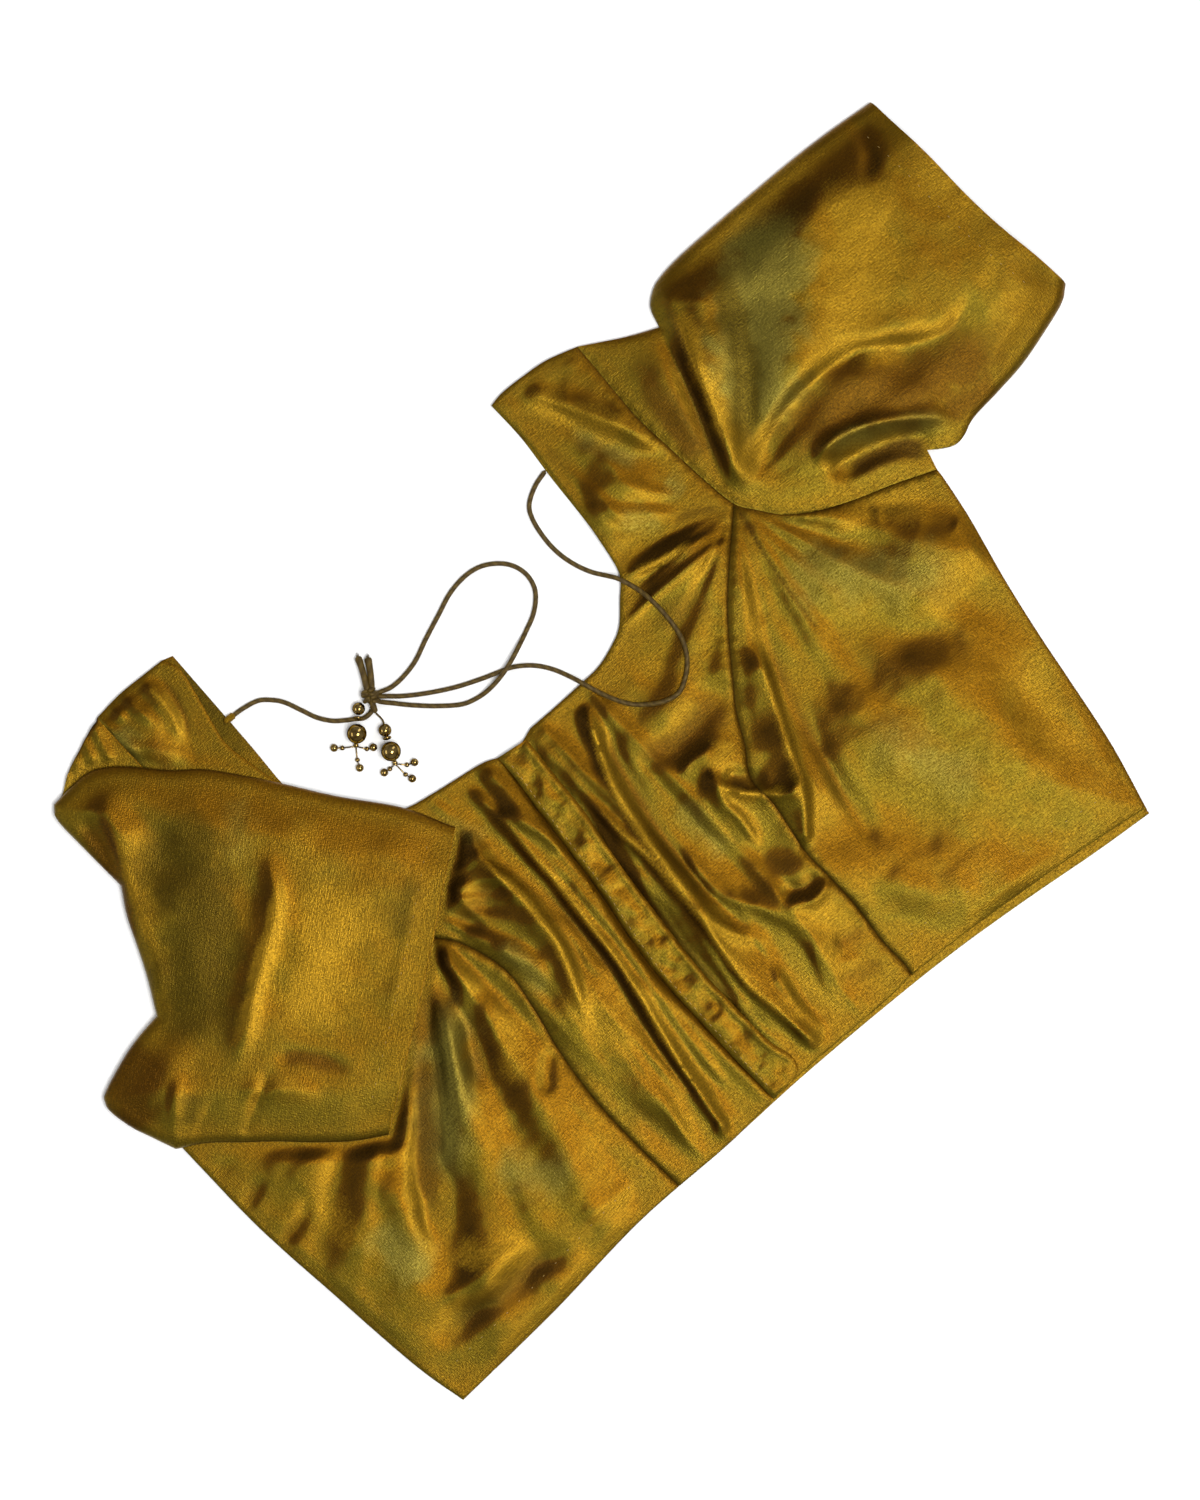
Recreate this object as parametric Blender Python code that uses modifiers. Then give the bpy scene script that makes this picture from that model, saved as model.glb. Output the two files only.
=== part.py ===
"""A choli blouse laid flat, front up: left sleeve out to the side, right sleeve folded over the front.

Metres, +Z up. The plan is drawn with the middle of the hem near (0, 0), the hem along X and the neck
towards +Y. "Left" and "right" are the wearer's. The whole is then moved so that the middle of the
cloth's box stands over the origin, with the underside at Z = 0.
"""

import math
from collections import namedtuple

import bmesh
import bpy
from mathutils import Matrix, Vector
from mathutils.geometry import delaunay_2d_cdt

# Driving sizes
CLOTH = 0.0012  # thickness of the cloth wall
GAP = 0.0003  # between pieces at a seam, and between layers
CUT_STEP = 0.013  # longest step along a curved seam line
SLEEVE_STEPS = (0.0125, 0.0125)  # across and along, between the points that shape a sleeve
CENTRE_STEPS = (0.0075, 0.018)  # the same on the centre fronts, whose folds run along
SIDE_STEPS = (0.0145, 0.018)  # and on the side fronts
PLAN_CENTRE = Vector((0.0464, 0.1737, 0.0))  # middle of the laid-out cloth in the plan

CORD_DIAMETER = 0.0022
CORD_STEP = 0.008
CORD_REST = CORD_DIAMETER / 2 + 0.00005  # height of a cord's middle where it lies on the surface

LARGE_BEAD = 0.0091
MEDIUM_BEAD = 0.0059
SMALL_BEAD = 0.0036
SEED_BEAD = 0.0022
WIRE = 0.0006

# Levels of the layers
FRONT_UNDER = CLOTH + GAP
FRONT_TOP = FRONT_UNDER + CLOTH
BAND_TOP = FRONT_TOP + 2 * GAP + CLOTH

SLEEVE_CROWN = 0.009  # rise of the laid-out sleeve's top wall
FOLDED_CROWN = 0.0074  # rise of the folded sleeve's top wall
FOLDED_UNDER = FRONT_TOP + GAP  # underside of the folded sleeve, where it lies on the front
TURNED_UNDER = FOLDED_UNDER + CLOTH / 2  # top of its hidden layers, which run into its lower wall
TURNED_STEP = 0.0015  # how far the hidden layers stay inside the folded edge
EDGE_ROLL = 0.024  # width over which a sleeve rises from its folded edge
SEAM_PUFF = 0.026  # width over which the sleeve rises from its armhole seam
WALL_SPARE = 0.0012  # added under a sleeve's puffed top wall, whose facets cut across its curves
SPARE_SHARE = 0.4  # and no more than this share of its rise
OPEN_REACH = 0.001  # how far a sleeve's inner space is cut past its open ends
BAND_MARGIN = 0.008  # how far outside it the band presses the folds quite flat
FOLDED_MARGIN = 0.014  # how far outside it the folded sleeve does
STRAIGHT = 0.05  # sine of the turn under which an outline counts as straight on
PRESSED = 0.007  # width over which the folds rise again past that

# Seam lines, as a cutter would chalk them: (x, y) points on smooth curves between corners
HEM_BACK = [(-0.208, 0.0002), (-0.15, 0.0038), (-0.093, 0.0092), (-0.041, 0.0094), (0.0075, 0.0106),
            (0.06, 0.01), (0.099, 0.0084), (0.138, 0.005), (0.177, 0.0006), (0.2074, -0.002)]
SIDE_LEFT = [(0.2074, 0.0), (0.2147, 0.034), (0.2194, 0.069), (0.2225, 0.094), (0.227, 0.123),
             (0.2334, 0.156), (0.236, 0.175), (0.2366, 0.182)]
SIDE_RIGHT = [(-0.2086, 0.0), (-0.2138, 0.0206), (-0.2179, 0.0456), (-0.222, 0.076), (-0.2263, 0.1067),
              (-0.2286, 0.129), (-0.23, 0.1567), (-0.231, 0.18)]
ARMHOLE_LEFT_LOWER = [(0.2366, 0.182), (0.2167, 0.19), (0.2, 0.1958), (0.183, 0.203), (0.17, 0.2117),
                      (0.1617, 0.2217), (0.1555, 0.231)]
ARMHOLE_LEFT_UPPER = [(0.1555, 0.231), (0.1525, 0.2467), (0.15, 0.268), (0.1475, 0.288), (0.1475, 0.302),
                      (0.148, 0.321), (0.148, 0.333)]
ARMHOLE_RIGHT_LOWER = [(-0.231, 0.18), (-0.205, 0.188), (-0.189, 0.193), (-0.169, 0.202), (-0.154, 0.212),
                       (-0.141, 0.228)]
ARMHOLE_RIGHT_UPPER = [(-0.141, 0.228), (-0.137, 0.24), (-0.134, 0.262), (-0.131, 0.288), (-0.13, 0.312),
                       (-0.131, 0.348)]
SHOULDER_LEFT = [(0.148, 0.333), (0.133, 0.3375), (0.12, 0.339), (0.108, 0.3395), (0.1003, 0.3383)]
SHOULDER_RIGHT = [(-0.131, 0.348), (-0.116, 0.3494), (-0.102, 0.349), (-0.091, 0.3485)]
PRINCESS_LEFT = [(0.0756, 0.0138), (0.0764, 0.0187), (0.0756, 0.034), (0.077, 0.0547), (0.0765, 0.07),
                 (0.0756, 0.088), (0.077, 0.1), (0.0787, 0.114), (0.0787, 0.1305), (0.0866, 0.1437),
                 (0.0936, 0.1578), (0.102, 0.17), (0.1178, 0.192), (0.1287, 0.2047), (0.141, 0.217),
                 (0.1555, 0.231)]
PRINCESS_RIGHT = [(-0.069, 0.0096), (-0.0714, 0.0378), (-0.0723, 0.066), (-0.07, 0.094), (-0.0665, 0.114),
                  (-0.0644, 0.136), (-0.071, 0.158), (-0.0797, 0.17), (-0.102, 0.194), (-0.124, 0.214),
                  (-0.141, 0.228)]
HEM_LEFT_SIDE = [(0.0756, 0.0138), (0.107, 0.0118), (0.138, 0.0092), (0.169, 0.0062), (0.1975, 0.0026),
                 (0.2074, 0.0)]
HEM_LEFT_CENTRE = [(-0.006, 0.012), (0.0075, 0.0122), (0.060, 0.0122), (0.0756, 0.0138)]
HEM_RIGHT_SIDE = [(-0.2086, 0.0), (-0.15, 0.0036), (-0.093, 0.0092), (-0.069, 0.0096)]
HEM_RIGHT_CENTRE = [(-0.069, 0.0096), (-0.041, 0.0094), (-0.0175, 0.0108), (-0.0097, 0.0115)]
NECK_FRONT_LEFT = [(0.1003, 0.3383), (0.102, 0.318), (0.1015, 0.305), (0.1, 0.29), (0.0985, 0.269),
                   (0.096, 0.248), (0.0934, 0.2394), (0.0868, 0.232), (0.078, 0.2225), (0.069, 0.218),
                   (0.0588, 0.215), (0.0485, 0.2144), (0.03, 0.214), (0.0169, 0.214)]
NECK_FRONT_RIGHT = [(-0.0034, 0.2135), (-0.0118, 0.2166), (-0.0368, 0.2206), (-0.0517, 0.224),
                    (-0.068, 0.233), (-0.08, 0.25), (-0.087, 0.27), (-0.091, 0.285), (-0.0939, 0.3),
                    (-0.0925, 0.311), (-0.0897, 0.325), (-0.0875, 0.34), (-0.091, 0.3485)]
NECK_BACK = [(0.1003, 0.338), (0.101, 0.318), (0.0995, 0.295), (0.098, 0.262), (0.094, 0.225),
             (0.08, 0.17), (0.048, 0.125), (0.008, 0.11), (-0.032, 0.125), (-0.064, 0.17), (-0.08, 0.225),
             (-0.086, 0.262), (-0.086, 0.295), (-0.0862, 0.347)]
BAND_SEAM = [(-0.0097, 0.0115), (-0.0112, 0.035), (-0.012, 0.058), (-0.0128, 0.089), (-0.0112, 0.111),
             (-0.008, 0.136), (-0.0066, 0.155), (-0.005, 0.183), (-0.0034, 0.202), (-0.0034, 0.2135)]
BAND_EDGE = [(0.0122, 0.2113), (0.0114, 0.191), (0.0106, 0.1675), (0.0075, 0.1425), (0.0052, 0.111),
             (0.0036, 0.0816), (0.0044, 0.058), (0.0059, 0.0347), (0.0094, 0.022), (0.0078, 0.0146),
             (0.002, 0.0126)]
UNDERLAP_EDGE = [(0.002, 0.209), (-0.002, 0.18), (-0.004, 0.15), (-0.008, 0.1), (-0.008, 0.04),
                 (-0.006, 0.012)]

SLEEVE_LEFT_CAP = [(0.148, 0.333), (0.1567, 0.328), (0.168, 0.3217), (0.1825, 0.315)]
SLEEVE_LEFT_TOP = [(0.1825, 0.315), (0.185, 0.324), (0.19, 0.329), (0.1967, 0.332), (0.21, 0.3337),
                   (0.233, 0.334), (0.273, 0.3337), (0.298, 0.3325), (0.3237, 0.33)]
SLEEVE_LEFT_CUFF = [(0.3237, 0.33), (0.325, 0.31), (0.3267, 0.29), (0.328, 0.2667), (0.3308, 0.243),
                    (0.335, 0.2217), (0.3372, 0.208)]
SLEEVE_LEFT_UNDER = [(0.3372, 0.208), (0.33, 0.2025), (0.315, 0.1975), (0.298, 0.193), (0.2817, 0.1908),
                     (0.265, 0.189), (0.2567, 0.1858), (0.2508, 0.185), (0.245, 0.1875), (0.239, 0.1917)]

SLEEVE_RIGHT_CUFF = [(-0.039, 0.202), (-0.06, 0.1855), (-0.0797, 0.17), (-0.115, 0.1435), (-0.1547, 0.115)]
SLEEVE_RIGHT_UNDER = [(-0.1547, 0.115), (-0.1686, 0.1233), (-0.1825, 0.1344), (-0.1964, 0.147),
                      (-0.2075, 0.156), (-0.22, 0.1664), (-0.233, 0.174)]
SLEEVE_RIGHT_LOBE = [(-0.233, 0.174), (-0.2383, 0.1864), (-0.2418, 0.1947), (-0.2444, 0.2058),
                     (-0.2436, 0.2114), (-0.24, 0.215), (-0.2244, 0.221), (-0.213, 0.224),
                     (-0.1996, 0.226)]
SLEEVE_RIGHT_TURN = [(-0.1996, 0.226), (-0.191, 0.243), (-0.1856, 0.2558), (-0.18, 0.2697),
                     (-0.173, 0.282)]
SLEEVE_RIGHT_END = [(-0.173, 0.282), (-0.1747, 0.307), (-0.1754, 0.324), (-0.172, 0.3305)]
SLEEVE_RIGHT_CAP_TOP = [(-0.172, 0.3305), (-0.166, 0.333), (-0.1578, 0.3385), (-0.1494, 0.342),
                        (-0.137, 0.3468), (-0.131, 0.348)]
SLEEVE_RIGHT_TOP = [(-0.172, 0.3305), (-0.159, 0.3316), (-0.1494, 0.331), (-0.141, 0.3267),
                    (-0.1328, 0.3197), (-0.1217, 0.308), (-0.109, 0.2975), (-0.095, 0.2808),
                    (-0.086, 0.269), (-0.0706, 0.248), (-0.0515, 0.2247), (-0.039, 0.202)]

# The largest folds: each a soft ridge from start through middle to end
Fold = namedtuple("Fold", "start middle end height half_width")
FRONT_FOLDS = [
    Fold((-0.026, 0.205), (-0.021, 0.140), (-0.036, 0.020), 0.0050, 0.0065),
    Fold((-0.046, 0.192), (-0.037, 0.150), (-0.050, 0.090), 0.0035, 0.0080),
    Fold((0.020, 0.200), (0.021, 0.120), (0.023, 0.020), 0.0045, 0.0060),
    Fold((0.046, 0.205), (0.027, 0.140), (0.033, 0.040), 0.0055, 0.0075),
    Fold((0.060, 0.160), (0.058, 0.120), (0.072, 0.080), 0.0060, 0.0120),
    Fold((0.128, 0.185), (0.105, 0.135), (0.078, 0.088), 0.0060, 0.0090),
    Fold((0.108, 0.232), (0.125, 0.230), (0.142, 0.224), 0.0030, 0.0060),
    Fold((-0.130, 0.110), (-0.150, 0.085), (-0.170, 0.055), 0.0040, 0.0160),
    Fold((0.160, 0.190), (0.180, 0.150), (0.195, 0.080), 0.0030, 0.0150),
    Fold((0.112, 0.325), (0.130, 0.290), (0.146, 0.250), 0.0035, 0.0090),
]
SLEEVE_LEFT_FOLDS = [
    Fold((0.197, 0.322), (0.178, 0.275), (0.163, 0.240), 0.0035, 0.0090),
    Fold((0.205, 0.222), (0.228, 0.216), (0.254, 0.196), 0.0035, 0.0080),
    Fold((0.175, 0.240), (0.220, 0.275), (0.280, 0.312), 0.0015, 0.0140),
]
SLEEVE_RIGHT_FOLDS = [
    Fold((-0.160, 0.305), (-0.176, 0.272), (-0.200, 0.226), 0.0028, 0.0090),
    Fold((-0.110, 0.252), (-0.145, 0.216), (-0.200, 0.180), 0.0020, 0.0100),
]
FOLD_FADE = 0.22  # share of a fold's length over which it rises from nothing

# Cord routes in the plan, by hand
TIE_LEFT_ROUTE = [(0.0997, 0.2994), (0.0912, 0.2970), (0.0838, 0.2924), (0.0806, 0.2865), (0.0791, 0.2776),
                  (0.0791, 0.2688), (0.0809, 0.2600), (0.0846, 0.2512), (0.0897, 0.2438), (0.0929, 0.2387),
                  (0.0963, 0.2291), (0.0978, 0.2188), (0.0978, 0.2070), (0.0956, 0.1968), (0.0904, 0.1887),
                  (0.0824, 0.1828), (0.0765, 0.1818), (0.0691, 0.1843), (0.0603, 0.1909), (0.0544, 0.1997),
                  (0.0500, 0.2100), (0.0471, 0.2180), (0.0426, 0.2276), (0.0368, 0.2350), (0.0294, 0.2405),
                  (0.0220, 0.2434), (0.0147, 0.2460), (0.0029, 0.2510), (-0.0088, 0.2575), (-0.0176, 0.2634),
                  (-0.0234, 0.2682)]
TIE_LOOP_ROUTE = [(-0.0232, 0.2714), (-0.0190, 0.2702), (-0.0118, 0.2703), (-0.0029, 0.2722),
                  (0.0074, 0.2767), (0.0191, 0.2813), (0.0294, 0.2853), (0.0397, 0.2868), (0.0485, 0.2853),
                  (0.0559, 0.2806), (0.0603, 0.2747), (0.0618, 0.2674), (0.0596, 0.2600), (0.0529, 0.2534),
                  (0.0441, 0.2490), (0.0324, 0.2440), (0.0235, 0.2412), (0.0147, 0.2400), (0.0074, 0.2406),
                  (0.0, 0.2431), (-0.0088, 0.2497), (-0.0170, 0.2572), (-0.0238, 0.2644)]
TIE_RIGHT_ROUTE = [(-0.0857, 0.3080), (-0.0780, 0.3075), (-0.0699, 0.3056), (-0.0647, 0.3015),
                   (-0.0610, 0.2968), (-0.0574, 0.2887), (-0.0544, 0.2820), (-0.0500, 0.2762),
                   (-0.0449, 0.2722), (-0.0415, 0.2700), (-0.0385, 0.2678), (-0.0352, 0.2674),
                   (-0.0326, 0.2682)]
LOOP_CROSSING = (0.0262, 0.2420)  # where the loop passes over the left tie cord
CROSSING_REACH = 0.020  # from the crossing to where the loop lies down again
CROSSING_TOP = 0.006  # over which it stays at its full height
CLIMB = 0.010  # over which the left tie cord climbs on to the front

KNOT_CENTRE = (-0.0293, 0.2734, 0.0035)
KNOT_SIZE = (0.0043, 0.0047, 0.0034)
EARS = {
    "tie_ear_1": ((-0.0274, 0.2790), (-0.0217, 0.2912)),
    "tie_ear_2": ((-0.0248, 0.2782), (-0.0184, 0.2879)),
}

# A bead tassel, from the knot outwards. Every bead stands on the surface.
CAP_RADIUS = 0.0013
CAP_LENGTH = 0.0020
DROP_START = 0.0019  # from the cap's middle to where a drop's wire starts
Tassel = namedtuple("Tassel", "medium large cap drops")
Drop = namedtuple("Drop", "seed end")
TASSELS = {
    "tassel_1": Tassel(
        (-0.0371, 0.2724), (-0.0452, 0.2642), (-0.0492, 0.2604),
        [Drop((-0.0547, 0.2637), (-0.0575, 0.2662)), Drop((-0.0530, 0.2550), (-0.0546, 0.2515)),
         Drop((-0.0464, 0.2560), (-0.0436, 0.2546))],
    ),
    "tassel_2": Tassel(
        (-0.0344, 0.2570), (-0.0386, 0.2478), (-0.0411, 0.2420),
        [Drop((-0.0444, 0.2421), (-0.0474, 0.2425)), Drop((-0.0406, 0.2354), (-0.0395, 0.2320)),
         Drop((-0.0372, 0.2384), (-0.0338, 0.2370))],
    ),
}


def smooth(points, step=CUT_STEP):
    """A Catmull-Rom curve through the points, sampled no further apart than step."""
    spots = [Vector(p).to_3d() for p in points]
    ends = [spots[0] * 2 - spots[1]] + spots + [spots[-1] * 2 - spots[-2]]
    curve = []
    for a, b, c, d in zip(ends, ends[1:], ends[2:], ends[3:]):
        parts = max(1, math.ceil((c - b).length / step))
        for k in range(parts):
            t = k / parts
            bend = (a * -1 + b * 3 - c * 3 + d) * t**3 + (a * 2 - b * 5 + c * 4 - d) * t**2
            curve.append((bend + (c - a) * t + b * 2) / 2)
    return curve + [spots[-1]]


def outline(*seams):
    """One closed outline from seam lines laid end to end, each turned the way that it joins on."""
    joined = smooth(seams[0])
    if (joined[0] - smooth(seams[1])[0]).length < (joined[-1] - smooth(seams[1])[0]).length:
        joined.reverse()
    for seam in seams[1:]:
        line = smooth(seam)
        if (line[0] - joined[-1]).length > (line[-1] - joined[-1]).length:
            line.reverse()
        joined += line[1:] if (line[0] - joined[-1]).length < GAP else line
    if (joined[0] - joined[-1]).length < GAP:
        joined.pop()
    area = sum(a.x * b.y - b.x * a.y for a, b in zip(joined, joined[1:] + joined[:1]))
    return joined if area > 0 else joined[::-1]


def inset(shape, amount, open_lines=()):
    """The counter-clockwise outline moved inwards, and OPEN_REACH outwards along any open lines."""
    edges = []
    for a, b in zip(shape, shape[1:] + shape[:1]):
        middle, along = (a + b) / 2, (b - a).normalized()
        is_open = any(nearest(line, middle.x, middle.y)[0] < GAP for line in open_lines)
        edges.append((Vector((-along.y, along.x, 0.0)), -OPEN_REACH if is_open else amount))
    moved = []
    for here, (first, one), (second, two) in zip(shape, edges[-1:] + edges[:-1], edges):
        turn = first.x * second.y - first.y * second.x
        if abs(turn) < STRAIGHT:
            moved.append(here + (first * one + second * two) / 2)
            continue
        x = (one * second.y - two * first.y) / turn
        y = (two * first.x - one * second.x) / turn
        moved.append(here + Vector((x, y, 0.0)))
    return moved


def inside(shape, x, y):
    """Whether (x, y) lies in the outline."""
    found = False
    for a, b in zip(shape, shape[1:] + shape[:1]):
        if (a.y > y) != (b.y > y) and x < a.x + (y - a.y) * (b.x - a.x) / (b.y - a.y):
            found = not found
    return found


def nearest(line, x, y):
    """(distance from (x, y) to a line of points, share of the way along it)."""
    spot, best, share, run = Vector((x, y, 0.0)), math.inf, 0.0, 0.0
    whole = sum((b - a).length for a, b in zip(line, line[1:]))
    for a, b in zip(line, line[1:]):
        span = b - a
        along = min(1.0, max(0.0, (spot - a).dot(span) / max(span.length_squared, 1e-12)))
        distance = (spot - a - span * along).length
        if distance < best:
            best, share = distance, (run + along * span.length) / whole
        run += span.length
    return best, share


def ease(value):
    """0 below 0, 1 above 1, and smooth between."""
    value = min(1.0, max(0.0, value))
    return value * value * (3 - 2 * value)


def lift(folds, x, y):
    """How far the folds raise the cloth at (x, y)."""
    total = 0.0
    for fold in folds:
        distance, share = nearest([Vector(p).to_3d() for p in fold[:3]], x, y)
        fade = ease(share / FOLD_FADE) * ease((1 - share) / FOLD_FADE)
        total += fold.height * fade * math.exp(-((distance / fold.half_width) ** 2))
    return total


FOLDED_OUTLINE = outline(SLEEVE_RIGHT_CUFF, SLEEVE_RIGHT_UNDER, SLEEVE_RIGHT_LOBE, SLEEVE_RIGHT_TURN,
                         SLEEVE_RIGHT_END, SLEEVE_RIGHT_TOP)
BAND_OUTLINE = outline(BAND_SEAM, BAND_EDGE)
LEFT_CENTRE_OUTLINE = outline(PRINCESS_LEFT, ARMHOLE_LEFT_UPPER, SHOULDER_LEFT, NECK_FRONT_LEFT,
                              UNDERLAP_EDGE, HEM_LEFT_CENTRE)
LEFT_EDGES = [smooth(line) for line in (SLEEVE_LEFT_TOP, SLEEVE_LEFT_UNDER, SLEEVE_LEFT_CAP)]
LEFT_SEAMS = [smooth(line) for line in (ARMHOLE_LEFT_UPPER, ARMHOLE_LEFT_LOWER)]
FOLDED_EDGES = [smooth(line) for line in (SLEEVE_RIGHT_UNDER, SLEEVE_RIGHT_LOBE, SLEEVE_RIGHT_TURN,
                                          SLEEVE_RIGHT_END, SLEEVE_RIGHT_TOP)]


def nearest_of(lines, x, y):
    return min(nearest(line, x, y)[0] for line in lines)


def clear_of(shape, margin, x, y):
    """0 in the outline and up to this margin outside it, then rising to 1 over PRESSED."""
    if inside(shape, x, y):
        return 0.0
    return ease((nearest(shape + shape[:1], x, y)[0] - margin) / PRESSED)


def front_top(x, y):
    """Top of the front: the band and the folded sleeve press its folds flat."""
    free = clear_of(BAND_OUTLINE, BAND_MARGIN, x, y) * clear_of(FOLDED_OUTLINE, FOLDED_MARGIN, x, y)
    return FRONT_TOP + lift(FRONT_FOLDS, x, y) * free


def sleeve_left_top(x, y):
    """Level with the front at the armhole seam, then puffed."""
    seam = nearest_of(LEFT_SEAMS, x, y)
    rise = SLEEVE_CROWN * (0.15 + 0.85 * ease(seam / 0.050)) + lift(SLEEVE_LEFT_FOLDS, x, y)
    return FRONT_TOP + ease(nearest_of(LEFT_EDGES, x, y) / EDGE_ROLL) * ease(seam / SEAM_PUFF) * rise


def sleeve_right_top(x, y):
    rise = FOLDED_CROWN + lift(SLEEVE_RIGHT_FOLDS, x, y)
    return FOLDED_UNDER + 2 * CLOTH + GAP + ease(nearest_of(FOLDED_EDGES, x, y) / EDGE_ROLL) * rise


def lattice(shape, across, along):
    """Staggered points inside the outline, clear of its edge. They keep their places from shape to shape."""
    xs, ys = [p.x for p in shape], [p.y for p in shape]
    ring, found, clear = shape + shape[:1], [], min(across, along) / 2
    for row in range(math.floor(min(ys) / along), math.ceil(max(ys) / along)):
        for column in range(math.floor(min(xs) / across), math.ceil(max(xs) / across)):
            x, y = (column + row % 2 / 2) * across, row * along
            if inside(shape, x, y) and nearest(ring, x, y)[0] > clear:
                found.append(Vector((x, y, 0.0)))
    return found


def material(name, colour, roughness, metallic):
    made = bpy.data.materials.new(name)
    made.use_nodes = True
    shader = made.node_tree.nodes["Principled BSDF"]
    shader.inputs["Base Color"].default_value = (*colour, 1.0)
    shader.inputs["Roughness"].default_value = roughness
    shader.inputs["Metallic"].default_value = metallic
    return made


def place(obj, finish):
    """Links an object into the blouse, under the empty that centres the plan."""
    obj.data.materials.append(finish)
    blouse.objects.link(obj)
    obj.parent = plan
    return obj


def helper(obj):
    """Links an object that only cuts or joins, hidden."""
    helpers.objects.link(obj)
    obj.parent = plan
    obj.hide_render = True
    obj.display_type = "WIRE"
    return obj


def slab(name, shape, top, under, inner=()):
    """A solid between two heights over an outline, shaped at its inner points too, if it has any."""
    spots = [p.to_2d() for p in (*shape, *inner)]
    ring = [(k, (k + 1) % len(shape)) for k in range(len(shape))]
    flat_points, _, triangles, *_ = delaunay_2d_cdt(spots, ring, [], 1, 1e-7)
    shell = bmesh.new()
    corners = [shell.verts.new((p.x, p.y, under(p.x, p.y))) for p in flat_points]
    lower = [shell.faces.new([corners[k] for k in t]) for t in triangles]
    raised = bmesh.ops.extrude_face_region(shell, geom=lower, use_keep_orig=True)
    for vertex in raised["geom"]:
        if isinstance(vertex, bmesh.types.BMVert):
            vertex.co.z = top(vertex.co.x, vertex.co.y)
    bmesh.ops.recalc_face_normals(shell, faces=shell.faces)
    mesh = bpy.data.meshes.new(name)
    shell.to_mesh(mesh)
    shell.free()
    return bpy.data.objects.new(name, mesh)


def panel(name, seams, top, steps):
    """A cut piece of cloth, one cloth thick, half a seam gap inside its seam lines."""
    shape = inset(outline(*seams), GAP / 2)
    place(slab(name, shape, top, lambda x, y: top(x, y) - CLOTH, lattice(shape, *steps)), cloth)


def combine(solid, operation, other):
    modifier = solid.modifiers.new(other.name, "BOOLEAN")
    modifier.operation = operation
    modifier.object = helper(other)


def hollow(sleeve, shape, inner, open_lines, top, under):
    """Opens the space inside a flattened sleeve, one cloth inside its walls and out of its open ends."""
    room = inset(shape, CLOTH, [smooth(line) for line in open_lines])

    def ceiling(x, y):
        rise = max(0.0, top(x, y) - under - 2 * CLOTH - GAP)
        return top(x, y) - CLOTH - min(WALL_SPARE, rise * SPARE_SHARE)

    combine(sleeve, "DIFFERENCE",
            slab(sleeve.name + "_space", room, ceiling, lambda x, y: under + CLOTH, inner))


def make_back():
    shape = outline(HEM_BACK, SIDE_LEFT, ARMHOLE_LEFT_LOWER, ARMHOLE_LEFT_UPPER, SHOULDER_LEFT, NECK_BACK,
                    SHOULDER_RIGHT, ARMHOLE_RIGHT_UPPER, ARMHOLE_RIGHT_LOWER, SIDE_RIGHT)
    place(slab("back", inset(shape, GAP / 2), lambda x, y: CLOTH, lambda x, y: 0.0), cloth)


def make_fronts():
    panel("front_left_centre",
          [PRINCESS_LEFT, ARMHOLE_LEFT_UPPER, SHOULDER_LEFT, NECK_FRONT_LEFT, UNDERLAP_EDGE,
           HEM_LEFT_CENTRE],
          front_top, CENTRE_STEPS)
    panel("front_left_side", [PRINCESS_LEFT, ARMHOLE_LEFT_LOWER, SIDE_LEFT, HEM_LEFT_SIDE],
          front_top, SIDE_STEPS)
    panel("front_right_centre",
          [PRINCESS_RIGHT, ARMHOLE_RIGHT_UPPER, SHOULDER_RIGHT, NECK_FRONT_RIGHT, BAND_SEAM,
           HEM_RIGHT_CENTRE],
          front_top, CENTRE_STEPS)
    panel("front_right_side", [PRINCESS_RIGHT, ARMHOLE_RIGHT_LOWER, SIDE_RIGHT, HEM_RIGHT_SIDE],
          front_top, SIDE_STEPS)
    panel("hook_band", [BAND_SEAM, BAND_EDGE], lambda x, y: BAND_TOP, CENTRE_STEPS)


def make_sleeve_left():
    shape = inset(outline(ARMHOLE_LEFT_UPPER, SLEEVE_LEFT_CAP, SLEEVE_LEFT_TOP, SLEEVE_LEFT_CUFF,
                          SLEEVE_LEFT_UNDER, ARMHOLE_LEFT_LOWER), GAP / 2)
    inner = lattice(shape, *SLEEVE_STEPS)
    sleeve = place(slab("sleeve_left", shape, sleeve_left_top, lambda x, y: 0.0, inner), cloth)
    open_lines = (SLEEVE_LEFT_CUFF, ARMHOLE_LEFT_UPPER, ARMHOLE_LEFT_LOWER)
    hollow(sleeve, shape, inner, open_lines, sleeve_left_top, 0.0)


def make_sleeve_right():
    """Folded over: an open tube on the front, and its hidden layers as one solid beside the body."""
    shape = FOLDED_OUTLINE
    inner = lattice(shape, *SLEEVE_STEPS)
    sleeve = place(slab("sleeve_right", shape, sleeve_right_top, lambda x, y: FOLDED_UNDER, inner), cloth)
    hollow(sleeve, shape, inner, [SLEEVE_RIGHT_CUFF], sleeve_right_top, FOLDED_UNDER)
    hidden = outline(ARMHOLE_RIGHT_LOWER, ARMHOLE_RIGHT_UPPER, SLEEVE_RIGHT_CAP_TOP, SLEEVE_RIGHT_END,
                     SLEEVE_RIGHT_TURN, SLEEVE_RIGHT_LOBE)
    combine(sleeve, "UNION", slab("sleeve_right_layers", inset(hidden, TURNED_STEP),
                                  lambda x, y: TURNED_UNDER, lambda x, y: 0.0))


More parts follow.
